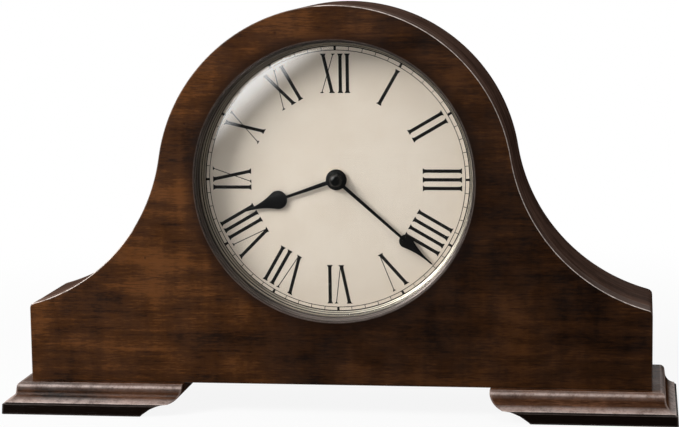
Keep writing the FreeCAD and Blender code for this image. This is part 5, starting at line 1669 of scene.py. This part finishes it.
@dataclass(frozen=True)
class Lamp:
    """A soft lamp: degrees to the right and above, metres from the dial, metres across and watts."""

    name: str
    azimuth: float
    rise: float
    distance: float
    size: Point
    power: float
    roll: float = 0.0
    mirrored: bool = False

    def grade(self, lamp: Piece) -> None:
        """Leaves the lamp to the glass alone, dimmed towards one side as a soft crescent.

        Args:
            lamp: the lamp.
        """
        lamp.visible_diffuse = False
        lamp.data.use_nodes = True
        desk = Desk(lamp.data.node_tree)
        desk.tree.nodes.clear()
        across = desk.axes(desk.add("ShaderNodeNewGeometry").outputs["Parametric"])["Y"]
        glow = desk.add("ShaderNodeEmission", {"Color": WHITE,
                                               "Strength": desk.fade(across, 0.05, 0.34, 0.0, 1.95)})
        desk.add("ShaderNodeOutputLight", {"Surface": glow.outputs[0]})

    def build(self) -> None:
        """Adds the lamp, pointing at the dial."""
        data = bpy.data.lights.new(self.name, "AREA")
        data.shape = "RECTANGLE"
        data.size, data.size_y = self.size
        data.energy = self.power
        across, up = math.radians(self.azimuth), math.radians(self.rise)
        way = Vector((math.sin(across) * math.cos(up), -math.cos(across) * math.cos(up), math.sin(up)))
        aim = (-way).to_track_quat("-Z", "Y").to_matrix().to_4x4()
        place = Matrix.Translation(Vector((0.0, 0.0, DIAL_Z * MM)) + way * self.distance)
        lamp = linked(self.name, data)
        lamp.matrix_world = place @ aim @ Matrix.Rotation(math.radians(self.roll), 4, "Z")
        if self.mirrored:
            self.grade(lamp)


@dataclass
class Studio:
    """A pale floor, a white room behind the clock, soft lamps and the camera."""

    location: Spot = (0.199238, -1.368382, 0.316664)
    yaw: float = math.radians(8.311)
    pitch: float = math.radians(7.662)
    roll: float = math.radians(-0.812)
    lens: float = 109.97
    sensor: float = 36.0
    floor_radius: float = 6000.0
    lamps: tuple[Lamp, ...] = (Lamp("key", -58.0, 32.0, 1.6, (0.6, 0.6), 31.0),
                               Lamp("card", -26.4, 17.7, 1.6, (1.0, 0.56), 6.8, 44.0, mirrored=True),
                               Lamp("fill", 48.0, 20.0, 1.9, (1.0, 1.0), 0.9),
                               Lamp("top", -20.0, 72.0, 1.4, (1.1, 0.9), 10.0))

    def floor(self) -> None:
        """Builds a wide pale floor that keeps the clock's shadow and mirrors white behind it."""
        build = bmesh.new()
        bmesh.ops.create_circle(build, cap_ends=True, segments=64, radius=self.floor_radius)
        desk = MaterialDesk("pale_floor")
        cloud = desk.fade(desk.noise(desk.place, 3.0, 2.0), 0.3, 0.7, 0.0, 0.5)
        matt = desk.add("ShaderNodeBsdfDiffuse", {
            "Color": desk.mix(cloud, (0.55, 0.55, 0.55), (0.53, 0.53, 0.53))})
        white = desk.add("ShaderNodeEmission", {"Color": WHITE, "Strength": 1.0})
        dark = desk.add("ShaderNodeBsdfDiffuse", {"Color": (0.03, 0.03, 0.03)})
        ray = desk.add("ShaderNodeLightPath").outputs
        clear = desk.larger(ray["Is Glossy Ray"], ray["Is Transmission Ray"])
        back = desk.fade(desk.axes(desk.place)["Y"], 0.15, 0.6)
        reach = desk.fade(desk.away(desk.place, (0.0, 0.0, 0.0)), 0.3, 0.8, 0.9, 1.0)
        share = desk.larger(desk.times(ray["Is Camera Ray"], reach), desk.times(clear, back))
        front = desk.times(clear, desk.minus(1.0, back))
        room = desk.switch(front, desk.switch(share, matt, white), dark)
        piece = raw_piece("floor", build, desk.close(room))
        if piece.data.polygons[0].normal.z < 0:
            piece.data.flip_normals()

    def world(self) -> None:
        """Builds soft light all round, white where it is seen behind the clock."""
        world = bpy.data.worlds.new("studio")
        world.use_nodes = True
        desk = Desk(world.node_tree)
        desk.tree.nodes.clear()
        way = desk.axes(desk.add("ShaderNodeTexCoord").outputs["Generated"])["Y"]
        ray = desk.add("ShaderNodeLightPath").outputs
        clear = desk.larger(ray["Is Glossy Ray"], ray["Is Transmission Ray"])
        mirrored = desk.times(clear, desk.fade(way, 0.0, 0.5, 0.02, 1.0))
        soft = desk.times(ray["Is Diffuse Ray"], desk.fade(way, 0.0, 0.7, 0.14, 0.7))
        strength = desk.larger(desk.larger(ray["Is Camera Ray"], mirrored), soft)
        light = desk.add("ShaderNodeBackground", {"Color": WHITE, "Strength": strength})
        desk.add("ShaderNodeOutputWorld", {"Surface": light.outputs[0]})
        bpy.context.scene.world = world

    def camera(self) -> None:
        """Adds the camera at the photograph's viewing angle."""
        sight = Vector((-math.sin(self.yaw) * math.cos(self.pitch),
                        math.cos(self.yaw) * math.cos(self.pitch), -math.sin(self.pitch)))
        level = Vector((math.cos(self.yaw), math.sin(self.yaw), 0.0))
        rise = level.cross(sight)
        across = level * math.cos(self.roll) + rise * math.sin(self.roll)
        upward = rise * math.cos(self.roll) - level * math.sin(self.roll)
        data = bpy.data.cameras.new("camera")
        data.sensor_fit = "HORIZONTAL"
        data.sensor_width = self.sensor
        data.lens = self.lens
        data.clip_start = 0.01
        camera = linked("camera", data)
        turn = Matrix((across, upward, -sight)).transposed().to_4x4()
        camera.matrix_world = Matrix.Translation(self.location) @ turn
        bpy.context.scene.camera = camera

    def build(self) -> None:
        """Builds the studio."""
        bpy.context.scene.view_settings.view_transform = "Standard"
        self.camera()
        self.floor()
        self.world()
        for lamp in self.lamps:
            lamp.build()


def main() -> None:
    """Builds each sub-assembly in order."""
    logging.basicConfig(level=logging.INFO, format="%(name)s: %(message)s")
    for assembly in (Studio(), Case(), Feet(), Bezel(), Dial(), Hands(), Back(), Movement(), Speaker()):
        log.info("building %s", type(assembly).__name__)
        assembly.build()


if __name__ == "__main__":
    main()
